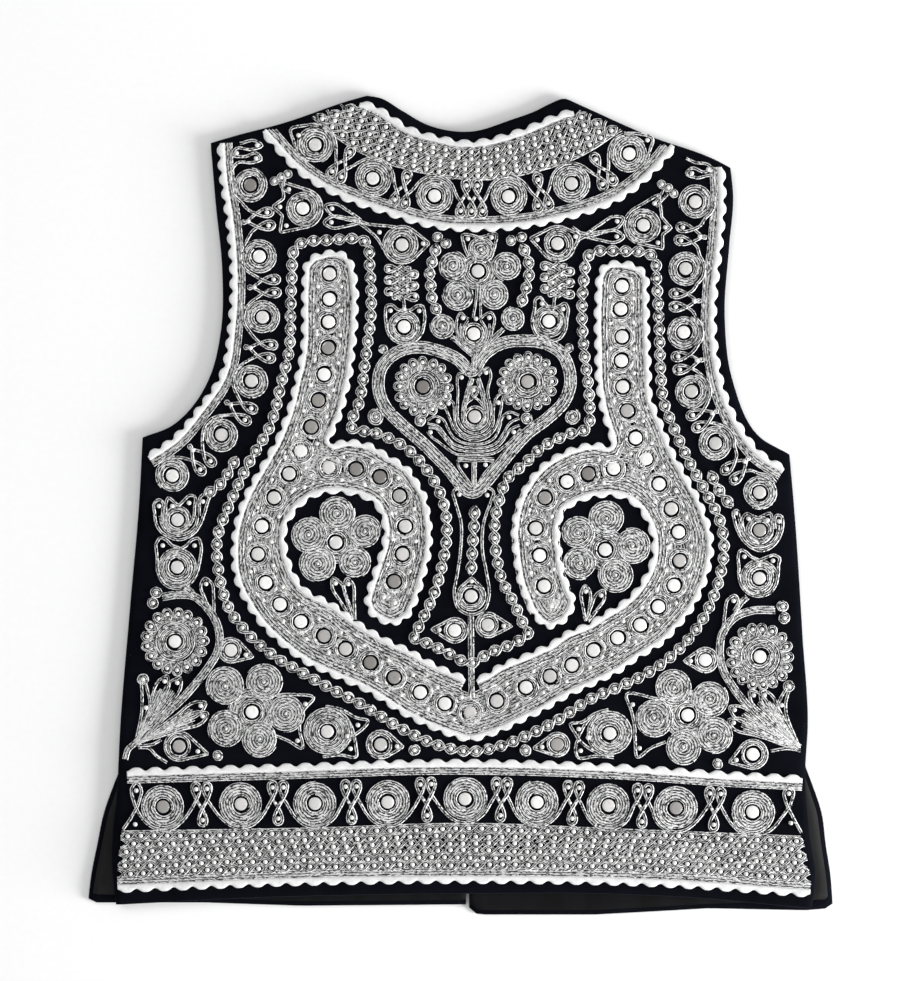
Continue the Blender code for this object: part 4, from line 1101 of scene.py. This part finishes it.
# Tulips: the mirror's x, y, coil's radius, how pale its painted reflection, the cords round it, its beads.
TULIPS = {
    "side_tulip_left_1": (-217.9, -11, 8.5, 0.9,
        [[(-230, -14), (-229.5, -4), (-229, 2), (-232.5, 4.6), (-236, 1.5), (-235.6, -6), (-234.8, -13),
        (-231.5, -19.5), (-225, -24), (-218.5, -26.3), (-211, -25), (-204.5, -20.5), (-200, -13.5),
        (-197.3, -6), (-195, 2), (-193.5, 8), (-197.5, 8.8), (-201, 5.5), (-201.2, -1), (-201, -8)],
        [(-226.5, -16), (-226.9, -8), (-226.8, 2), (-225.2, 6), (-221.5, 3.5), (-217.3, 0.3), (-213, 4),
        (-208.5, 7.8), (-204.9, 7), (-204.8, -1), (-205.6, -9), (-210, -16.5), (-217.5, -19.5),
        (-224, -17.5), (-227.6, -11)],
        [(-231.5, -8), (-230, -14.5), (-225.8, -20.5), (-217.8, -23), (-209.5, -20.8), (-203.6, -14.5),
        (-202.5, -8)]], [(-232.3, -0.4), (-222, -0.4), (-209.1, 2), (-198.5, 3.1)]),
    "side_tulip_left_2": (-218.2, -47.5, 12.6, 1,
        [[(-216, -33), (-222.5, -30.5), (-227.5, -26), (-231.5, -25), (-234, -28.5), (-233.7, -40),
        (-233.4, -50), (-230, -58.5), (-223.5, -63.3), (-216, -63.5), (-208.5, -60), (-203.2, -52),
        (-200.8, -42), (-200, -30), (-202, -25.3), (-206, -26), (-212, -31.5), (-216.5, -33.5)]],
        [(-229.4, -30.8), (-204.9, -30.8)]),
    "side_tulip_right_1": (230.6, -19, 8.5, 0.6,
        [[(216.5, -16), (214.5, -9), (213.2, -3.6), (210.6, -4.5), (211.3, -12), (213.8, -20),
        (218.5, -27.5), (224.5, -32.6), (230.5, -34.8), (238, -33), (244, -27.5), (247.3, -20.5),
        (248.3, -12.5), (247, -8), (243.5, -7.5), (242.3, -12), (242.5, -18)],
        [(221, -26), (217.8, -18), (217.6, -9), (220.4, -6.3), (225, -8), (229.8, -9.3), (234, -7.5),
        (238.7, -6), (240, -10), (240, -19), (237, -26), (230.5, -29), (224, -26.8), (220, -21)],
        [(214.8, -14), (217, -22.5), (221.5, -28.5), (230.5, -32), (239, -29), (244, -22.5), (245, -15)]],
        [(212.1, -5.7), (221.8, -10.1), (236.5, -11.3), (245.4, -12.2)]),
    "side_tulip_right_2": (230.3, -56.1, 12.4, 0.9,
        [[(229.5, -41.8), (224, -39.5), (219.5, -35.5), (215.8, -34.3), (214.2, -38), (214.5, -48),
        (214.7, -56), (217.5, -63.5), (223.5, -68.5), (231, -69.9), (238, -67.5), (243, -61), (244.8, -53),
        (245.2, -45), (246, -40.8), (242, -38.2), (236, -39.8), (230.5, -42)]],
        [(218.6, -39.3), (240.7, -42.5), (229.5, -45.5)]),
    "neck_tulip_left": (-43.4, 137.7, 10.2, 1,
        [[(-44, 150), (-48.5, 151), (-53, 154.5), (-56.8, 153.8), (-57.8, 149), (-57.3, 140), (-55.3, 132),
        (-50, 126.5), (-43, 124.8), (-35.5, 126.6), (-30, 132.5), (-28, 140), (-27.8, 149), (-29.5, 153.8),
        (-33, 154), (-38, 150.8), (-43, 149.8)]], [(-54, 150.1), (-31.9, 149.9), (-43.4, 151.4)]),
    "neck_tulip_right": (68.1, 142, 10.2, 1,
        [[(69.5, 151.5), (65, 155.5), (61, 160.5), (58.5, 159.5), (57, 151), (55.2, 143), (57, 134),
        (62.5, 128.3), (69.5, 126.5), (76.5, 128.8), (80.8, 135.5), (82, 144), (82.8, 152), (80.5, 155.8),
        (76, 153.5), (70.5, 151.5)]], [(62.7, 155.5), (78.9, 151.4)]),
}
# Round flowers with a ring of small loops: x, y, radius, loops, how pale the mirror's painted reflection is.
ROUND_FLOWERS = {
    "heart_flower_left": (-28.8, 91.4, 23.6, 16, 0.4),
    "heart_flower_right": (51.7, 95.4, 23.6, 16, 0.7),
    "side_flower_left": (-220, -104.8, 26.6, 17, 1),
    "side_flower_right": (230.8, -116.5, 26.5, 17, 1),
}
# What goes with the drops below the yoke. Over a bird: a trefoil of blobs and the cords under it, a leaf's
# root and beads, and its two strands. Under a neck drop: a ladder's middle, its beads, first the large ones,
# and the stem below it.
TREFOILS = {
    "bird_left": ([(-143.5, 250), (-138.3, 252.8), (-133.2, 255.3)],
        [[(-139.5, 249), (-137, 244), (-131, 241)], [(-135, 252), (-137.5, 245), (-136, 240)]], (-77, 219),
        [(-99, 228.7), (-99.5, 218.2)], [[(-81, 221), (-72, 217), (-62, 215.9), (-50, 214.6)],
        [(-81, 219.5), (-72, 213), (-64, 205.5), (-59.2, 197.5)]]),
    "bird_right": ([(155, 247.5), (160, 244.8), (164.3, 240.5)], [[(156.5, 244), (154, 239), (149, 232)],
        [(160, 240), (156, 236), (151, 230)]], (97, 208), [(120.6, 219), (120.3, 207.2)],
        [[(100, 209.5), (93, 210), (86.5, 214.5)], [(100, 208), (93, 206), (87, 198)]]),
}
LADDERS = {
    "neck_drop_left": (-45.5, 171.4,
        [(-55.6, 181.4), (-54.9, 172.2), (-54, 163), (-37.3, 178.4), (-36.2, 169.7), (-34.9, 161.6),
        (-49.2, 177.6), (-44.3, 174.7), (-49.2, 167.7), (-40.7, 166.3)],
        [(-44.3, 160.5), (-43.6, 155.5), (-43.2, 151.2)]),
    "neck_drop_right": (74.6, 173.6,
        [(65.5, 183.6), (65.6, 175.5), (65.9, 167.4), (84.3, 180.5), (82.9, 172.2), (82.7, 163.6),
        (77.8, 177.6), (70.8, 172), (76.2, 167.7)], [(72.9, 163), (72.2, 157.5), (71.8, 152.2)]),
}
LADDER_LARGE_BEADS, LADDER_LOOPS, LADDER_PITCH = 6, 6, 8.8
# The side each cord of a ladder starts on, how far it swings, and how far its loops lean over each other.
LADDER_CORDS = [(-1, 12.4, 3.6), (1, 6.5, 2.0)]


def add_trefoil(work, blobs, cords, root, leaves, strands):
    for x, y in blobs:
        work.blob(x, y, TREFOIL_BLOB)
    for points in cords:
        work.sheaf(points, width=FINE_CORD)
    for bead in leaves:
        work.loop(root, bead, half=4.2, tip=5.5)
    work.drawn(strands, [])


def add_ladder(work, x, y, dots, stem):
    """Two knotted cords across each other, the wider one under the other."""
    for way, swing, lean in LADDER_CORDS:
        curve = knot_curve(LADDER_LOOPS, LADDER_PITCH, swing, 0.0, lean)
        line = np.stack([x + way * curve[:, 1], y + curve[:, 0]], axis=1)
        share = np.linspace(0, 1, len(line))
        work.cord(line, 0.2 - 0.2 * way + 0.4 * np.sin(share * (LADDER_LOOPS + 1) * math.pi))
    work.sheaf(stem)
    for k, dot in enumerate(dots):
        work.bead(*dot, BEAD if k < LADDER_LARGE_BEADS else 1.4)


for name, (*drop, tone, tips) in DROPS.items():
    work = sewing()
    work.pointed(*drop, tips, tone)
    if name in TREFOILS:
        add_trefoil(work, *TREFOILS[name])
    if name in LADDERS:
        add_ladder(work, *LADDERS[name])
    sewn(f"{name}_coiled", work, name)
for name, (x, y, coil, tone, curves, dots) in TULIPS.items():
    work = sewing()
    work.rosette(x, y, coil, tone)
    work.circle(x, y, coil + 1.2, -0.4)
    work.drawn(curves, dots)
    sewn(f"{name}_coiled", work, name)
for name, flower in ROUND_FLOWERS.items():
    work = sewing()
    work.ring_flower(*flower)
    sewn(f"{name}_looped", work, name)

# The big coiled fish: mirror's x, y, coil's radius, how pale its painted reflection, the tail's two crossing
# cords, its beads.
FISH = {
    "fish_left": (-102.5, -174, 19.0, 0.85,
        [(-104, -154.5), (-92, -157), (-80, -163.5), (-71, -166), (-76, -172.5), (-82, -177), (-89, -184),
        (-96, -190)], [(-106, -193.5), (-93, -192), (-80, -193), (-80.5, -186), (-82, -177), (-85, -168),
        (-90, -161)], [(-79, -169), (-84.7, -187.2), (-87.3, -177.5)]),
    "fish_right": (115, -175.5, 17.8, 0.85,
        [(114, -157), (104, -160), (93, -167), (84.5, -168.3), (88, -175), (91, -180), (99, -187),
        (108, -192)], [(118, -194), (104, -193), (90, -193.5), (88.5, -187), (90.5, -179.5), (95, -170),
        (101, -162)], [(91, -172), (92.4, -188.7), (98.1, -178.7)]),
}
# The small fish beside each: mirror's x, y, coil's radius, its outline's tip, how pale its painted
# reflection, the blob past it.
SMALL_FISH = {
    "fish_left": (-61.4, -184, 9.3, [(-43, -186)], 0.75, (-35.5, -188.3)),
    "fish_right": (74.6, -184, 7.6, [(55, -187)], 0.6, (50, -188.5)),
}
for name, (*body, upper, lower, dots) in FISH.items():
    work = sewing()
    work.rosette(*body)
    work.drawn([upper, lower], dots)
    *small, blob = SMALL_FISH[name]
    work.pointed(*small)
    work.blob(*blob)
    sewn(f"{name}_coiled", work, name)

# Stems and leaves of the side corners: main stem, leaf's bead and root, blobs at its end, the fan's root and
# beads, and the blob and bead beyond the fan.
CORNERS = {
    "left": ([(-229.8, -70.5), (-218.3, -68.8), (-205.2, -70.2), (-196.5, -77.4), (-189.3, -87.5),
        (-185.6, -100.6), (-187.1, -112.2), (-193.7, -123.8), (-203.7, -136.8), (-215.3, -149.8),
        (-229.8, -162.9), (-250.5, -184)], (-196, -60.4), (-191, -82), [(-234.5, -67), (-237.1, -75.2)],
        (-250.5, -184), [(-227.9, -135.4), (-218.2, -136.5), (-200.1, -154.2), (-198.7, -162.2)],
        (-244.7, -133.9), (-242.2, -155.7)),
    "right": ([(242.5, -80.5), (224.3, -81.1), (211.7, -86), (201.9, -98.6), (199.8, -111.3),
        (201.9, -125.1), (210.3, -140.5), (221.4, -154.4), (236.8, -168.6), (261, -187)], (210.3, -73.4),
        (203.5, -95), [(248.1, -77.6), (249.5, -86.7)], (261, -187),
        [(225.7, -146.1), (234.1, -146.1), (211, -157.4), (210.3, -167.2)], (252.9, -139.2),
        (247.3, -153.8)),
}
# Where the strands between two loops of a fan end, from the one loop's bead to the other's.
FAN_STRANDS = (-0.25, 0.15, 0.5, 0.85, 1.25)
for side, (stem, leaf, leaf_root, blobs, root, fan, blob, dot) in CORNERS.items():
    work = sewing()
    work.sheaf(stem, 3, pitch=2.05, width=2.0)
    work.loop(leaf_root, leaf, half=4.2)
    for spot in blobs:
        work.blob(*spot)
    root, blob, dot, fan = np.array(root), np.array(blob), np.array(dot), np.array(fan)
    for bead in fan:
        work.loop(root + (bead - root) * 0.25, bead, 3.6)
        work.sheaf([root, root + (bead - root) * 0.44, root + (bead - root) * 0.88])
    for first, second in zip(fan[::2], fan[1::2]):
        for share in FAN_STRANDS:
            end = first * (1 - share) + second * share
            work.sheaf([root, root + (end - root) * 0.42, root + (end - root) * 0.85], width=FINE_CORD)
    work.bead(*dot)
    for way in (-3.0, 3.0):
        aside = way * np.array([1.0, 0.25])
        work.sheaf([root, dot + aside * 1.05, blob + 0.4 * aside])
    work.blob(*blob)
    sewn(f"corner_{side}_stems", work)

# The vases inside the heart and under the neck: nested curves that rise into leaves, with how many cords each
# has, beads, and the mirror.
HEART_VASE = [
    (2, [(8.8, 98), (5, 85), (2.6, 73), (3.6, 63.5), (10.9, 59.3), (18.6, 63.5), (19.6, 73), (17.4, 85),
        (13.4, 98)]),
    (1, [(7.5, 99), (3.5, 101.8), (-1.5, 101.5), (-2.6, 96), (-2, 88), (-2.3, 76), (-1.6, 65.5), (3.5, 58),
        (10.9, 55.5), (18.5, 58), (23.2, 65.5), (23.1, 76), (21, 88), (23, 103), (21.5, 106), (17.5, 104.5),
        (14, 99.5)]),
    (1, [(-10.8, 82.7), (-6, 79.5), (-4.7, 70), (-3.6, 62), (2.5, 55), (10.8, 52.7), (19.2, 55), (24.9, 62),
        (25.2, 72), (27, 82), (36.3, 91.1)]),
    (1, [(-16.7, 83.2), (-12.3, 76.3), (-8, 66.5), (-4.4, 58), (3, 51.9), (10.8, 50), (19, 51.9),
        (26.8, 59.5), (30.6, 71), (33.4, 84.2), (38.5, 90)]),
    (1, [(-25.5, 65.5), (-19.6, 68.7), (-13.8, 66.5), (-9.5, 58.9), (-4.8, 51.9), (2.5, 48.2), (10.8, 47.2),
        (19.5, 48.2), (26.4, 52.5), (30, 60), (32.6, 68.5), (37.3, 71.9), (45.2, 69.5)]),
    (1, [(-25.5, 63.3), (-17.5, 61), (-11.5, 54), (-5.2, 47.4), (2, 45), (10.8, 44.3), (20, 45), (27.5, 48),
        (32.8, 55), (38.3, 63.6), (45.2, 67.2)]),
    (1, [(-24.5, 59.8), (-19.6, 59.6), (-14.7, 54.7), (-9.8, 48.7), (-4.6, 43.9), (2, 42.2), (10.8, 41.6),
        (20, 42.2), (27, 44.2), (33, 50.3), (38.8, 58.9), (45.4, 61.8)]),
    (1, [(-25.5, 57), (-22.5, 53), (-16.7, 48.8), (-9.8, 43.5), (-3.5, 39.7), (3, 39), (10.8, 38.9),
        (20, 39.2), (26.5, 40.6), (34.2, 46), (41.2, 52.8), (46.4, 59)]),
    (2, [(-2.2, 35.6), (4, 35.6), (10.8, 35.2), (18, 35.6), (25.8, 35)]),
    (1, [(-2.4, 35), (-1.8, 31), (1.2, 25.5), (5, 20.5), (9, 14)]),
    (1, [(26.5, 34.5), (24.5, 31.5), (21, 28), (17, 22.5), (12.5, 14)]),
    (2, [(10.6, 34), (10.4, 22), (10.8, 11)]),
    (1, [(19, 74), (14, 81), (9, 85), (8, 89), (11, 91.5), (13.5, 88.5), (11, 84), (5, 79), (2.5, 74)]),
]
HEART_VASE_BEADS = [
    (0.7, 98.7), (19.6, 102.4), (9.8, 88.8), (-9.3, 78.6), (29, 79.3), (-17.2, 65), (37.3, 68),
    (-23.2, 56.4), (40.9, 56.6), (4.1, 30.7), (19.2, 31.4),
]
NECK_VASE = [
    (1, [(5.6, 142.6), (1.9, 135.6), (3.1, 127.1), (10.6, 123.4), (18.1, 127.1), (19.8, 135.6),
        (15.6, 142.6)]),
    (1, [(6.1, 143.6), (3.1, 145.8), (0.2, 148.6), (-2.2, 145), (-2.8, 134.6), (-0.8, 124.4), (10.6, 119.0),
        (21.8, 124.4), (24.4, 134.6), (26, 145), (23.6, 148.8), (19.2, 147.1), (14.6, 143.1)]),
    (1, [(0.8, 140), (-0.6, 132), (2, 125.3), (10.6, 121.3), (19, 125.3), (21.6, 132), (22.6, 140)]),
    (2, [(-7, 129.6), (-3.2, 127.2), (0.5, 123.6), (5, 119.5), (9.5, 116)]),
    (2, [(33, 136), (27.5, 130.8), (22.1, 124.6), (17, 118.5), (12, 112.5)]),
    (2, [(10.5, 119), (10.5, 110), (10, 101)]),
    (1, [(12.8, 170), (11.8, 157), (9.7, 144.7)]),
    (1, [(14.7, 170), (15.2, 157), (15.7, 144.7)]),
]
NECK_VASE_BEADS = [(1.8, 144.5), (22.1, 144.7), (11.9, 143.8)]
VASES = {
    "heart_vase": (HEART_VASE, HEART_VASE_BEADS, (11, 68.5, 0.85), [(-31, 65.5), (51, 67)]),
    "neck_vase": (NECK_VASE, NECK_VASE_BEADS, (10.3, 132.3, 1), []),
}
for name, (curves, dots, (x, y, tone), blobs) in VASES.items():
    work = sewing()
    work.mirror(x, y, tone)
    work.coil(x, y, MIRROR_RIM, MIRROR_RIM)
    for count, points in curves:
        work.sheaf(points, count, pitch=FINE_PITCH, width=FINE_CORD)
    work.drawn([], dots)
    for spot in blobs:
        work.blob(*spot)
    sewn(f"{name}_laid", work, name)

# Stems and small pieces that lie on the velvet by themselves: discs, twisted stems, blobs, the frame round
# the axis, beads, strands with how many cords each has, and loops from root to bead.
LOOSE_DISCS = [
    (-14, 138.2, 9.9), (40.5, 144.1, 9.5), (-65.1, 68.5, 6.6), (86.2, 68.5, 6.2), (-59.7, 120.5, 4.2),
    (83.5, 121.3, 4.2), (-115.3, 23.1, 4.5),
]
LOOSE_CHAINS = [
    [(-18.5, 201), (-20.2, 193), (-22.5, 185.5), (-23.8, 178.5), (-23, 170), (-22.3, 161), (-19, 151.5),
        (-16.5, 147.5)],
    [(47.2, 201), (51.9, 189.5), (52.9, 179.8), (51.3, 170.6), (49.2, 163), (46, 153.5)],
    [(-197, 8), (-187.8, 13.9), (-172, 37)],
    [(192, 26), (201, 9), (209, -1)],
    [(10.9, -0.5), (10.4, -16.6), (9.6, -26.6), (9, -37), (8.1, -53)],
]
LOOSE_BLOBS = [(-17.8, 206.8), (-11.3, 201.9), (47, 206.8), (38.9, 204.1), (-186.9, -192.6), (198, -198.9)]
AXIS_FRAME = [
    (4, 8), (-1, 13.5), (-5.5, 11), (-4, 3), (0.3, -12.5), (-0.1, -35.8), (-2.5, -53), (-4.8, -68.9),
    (-1.5, -79.5), (8.5, -84), (18.3, -80), (22, -68.9), (20.2, -53), (16.8, -33.3), (18, -12.5), (23.3, 3),
    (25.5, 11), (20.5, 13.5), (15, 8),
]
LOOSE_BEADS = [(-1, 8.5), (20.5, 8), (-120.5, 14.2), (-128.6, 12.7), (-62.5, 210.5)]
LOOSE_STRANDS = [
    (2, [(8, -85), (8.2, -110), (8.5, -148)]),
    (1, [(-248, -185), (-238, -184.2), (-230.5, -180.5)]),
    (1, [(-248, -186.5), (-240, -187), (-234, -193), (-226, -198)]),
    (2, [(-250.5, -183), (-255.8, -187.5), (-258.3, -195.5)]),
    (2, [(-214, -62.5), (-209, -65), (-205, -70)]),
    (1, [(262, -185.5), (250, -184.6), (238, -180.4), (231, -178)]),
    (1, [(262, -189), (252.5, -187.2), (239, -189)]),
    (2, [(221, -70.5), (216, -75), (211.5, -82)]),
]
LOOSE_LOOPS = [
    ((-82.4, -88), (-96.3, -59.9)),
    ((-82.4, -88), (-86.5, -60.4)),
    ((97.4, -89), (96.3, -66.1)),
    ((97.4, -89), (108.2, -69.2)),
]
# Single cords with the beads in their bends: by the corner flowers, over the neck flower, at the shoulders.
LOOSE_CURLS = [
    ([(-150, -147), (-127.4, -145.5), (-113, -148), (-121, -158), (-124, -170), (-122, -187), (-133, -181),
        (-143, -177)], [(-119.4, -152.8), (-125.5, -181)]),
    ([(166, -150), (152, -148.8), (127.5, -146), (131.5, -158), (134, -170), (134.5, -181), (136.2, -194),
        (146, -187), (158, -182)], [(132.5, -153.2), (137.8, -186.8)]),
    ([(6, 192), (2.8, 200), (1.8, 208.5), (8, 208.3), (15.3, 206.6), (22, 208.6), (27, 209.6), (26.4, 200),
        (24, 192)], [(5.6, 205.4), (23.8, 206.4)]),
    ([(-176.5, 247), (-177, 256), (-172, 264), (-160, 264.3), (-153.5, 267), (-157, 271.5), (-166, 269),
        (-176, 270.5), (-173, 275), (-161, 274.3), (-153, 277.5), (-158, 281), (-170, 279)],
        [(-157.5, 267.5), (-156.7, 277.5), (-172.5, 271.5)]),
    ([(195.5, 235), (197, 245), (193, 254), (182, 252.5), (174, 256), (178, 260), (188, 257), (194.5, 259.5),
        (190, 263), (181, 264.3), (174, 267.5)], [(178.2, 256), (190.8, 259)]),
]
work = sewing()
for disc in LOOSE_DISCS:
    work.disc(*disc)
for points in LOOSE_CHAINS:
    work.eyes(even(points, LOOP_STEP))
for spot in LOOSE_BLOBS:
    work.blob(*spot, LOOSE_BLOB)
work.drawn([AXIS_FRAME], LOOSE_BEADS)
for count, points in LOOSE_STRANDS:
    work.sheaf(points, count)
for root, bead in LOOSE_LOOPS:
    work.loop(root, bead, half=3.2)
for points, dots in LOOSE_CURLS:
    work.drawn([points], dots)
sewn("loose_stems", work)

for region, (beads, mirrors) in REGIONS.items():
    make_piece(f"beads_{region}", beads, BEADS, "braid")
    make_piece(f"mirrors_{region}", mirrors, GLASS, "mirror")

# --- floor, light and camera: the camera's in millimetres, the rest in metres ----------------------

VIEW_HEIGHT, VIEW_CENTRE = 755.4, (0.0, 11.55)
CAMERA_HEIGHT, CLOTH_LEVEL = 3000.0, 8.0
FLOOR_REACH, FLOOR_DROP = 4.0, 0.0004
LIGHTS = {"key": ((2.42, -0.85, 0.56), 1.3, 168.0), "fill": ((-1.7, 1.5, 1.9), 1.6, 20.0)}
WORLD_STRENGTH = 0.55


def make_floor():
    mesh = bpy.data.meshes.new("floor")
    corners = [(-1, -1, 0), (1, -1, 0), (1, 1, 0), (-1, 1, 0)]
    mesh.from_pydata([Vector(corner) * FLOOR_REACH for corner in corners], [], [(0, 1, 2, 3)])
    mesh.materials.append(pale_floor())
    floor = add_object("floor", mesh)
    floor.location.z = -FLOOR_DROP


def make_lights():
    for name, (place, size, power) in LIGHTS.items():
        light = bpy.data.lights.new(name, "AREA")
        light.shape, light.size, light.energy = "DISK", size, power
        lamp = add_object(name, light)
        lamp.location = place
        lamp.rotation_euler = (-Vector(place)).to_track_quat("-Z", "Y").to_euler()
    world = bpy.data.worlds.new("studio")
    bpy.context.scene.world = world
    world.use_nodes = True
    world.node_tree.nodes["Background"].inputs["Color"].default_value = (1, 1, 1, 1)
    world.node_tree.nodes["Background"].inputs["Strength"].default_value = WORLD_STRENGTH


def make_camera():
    data = bpy.data.cameras.new("camera")
    data.sensor_fit = "VERTICAL"
    data.angle_y = 2 * math.atan(VIEW_HEIGHT / 2 / (CAMERA_HEIGHT - CLOTH_LEVEL))
    data.clip_end = 20.0
    camera = add_object("camera", data)
    camera.location = (VIEW_CENTRE[0] * MM, VIEW_CENTRE[1] * MM, CAMERA_HEIGHT * MM)
    bpy.context.scene.camera = camera


make_floor()
make_lights()
make_camera()
bpy.context.scene.view_settings.view_transform = "Standard"
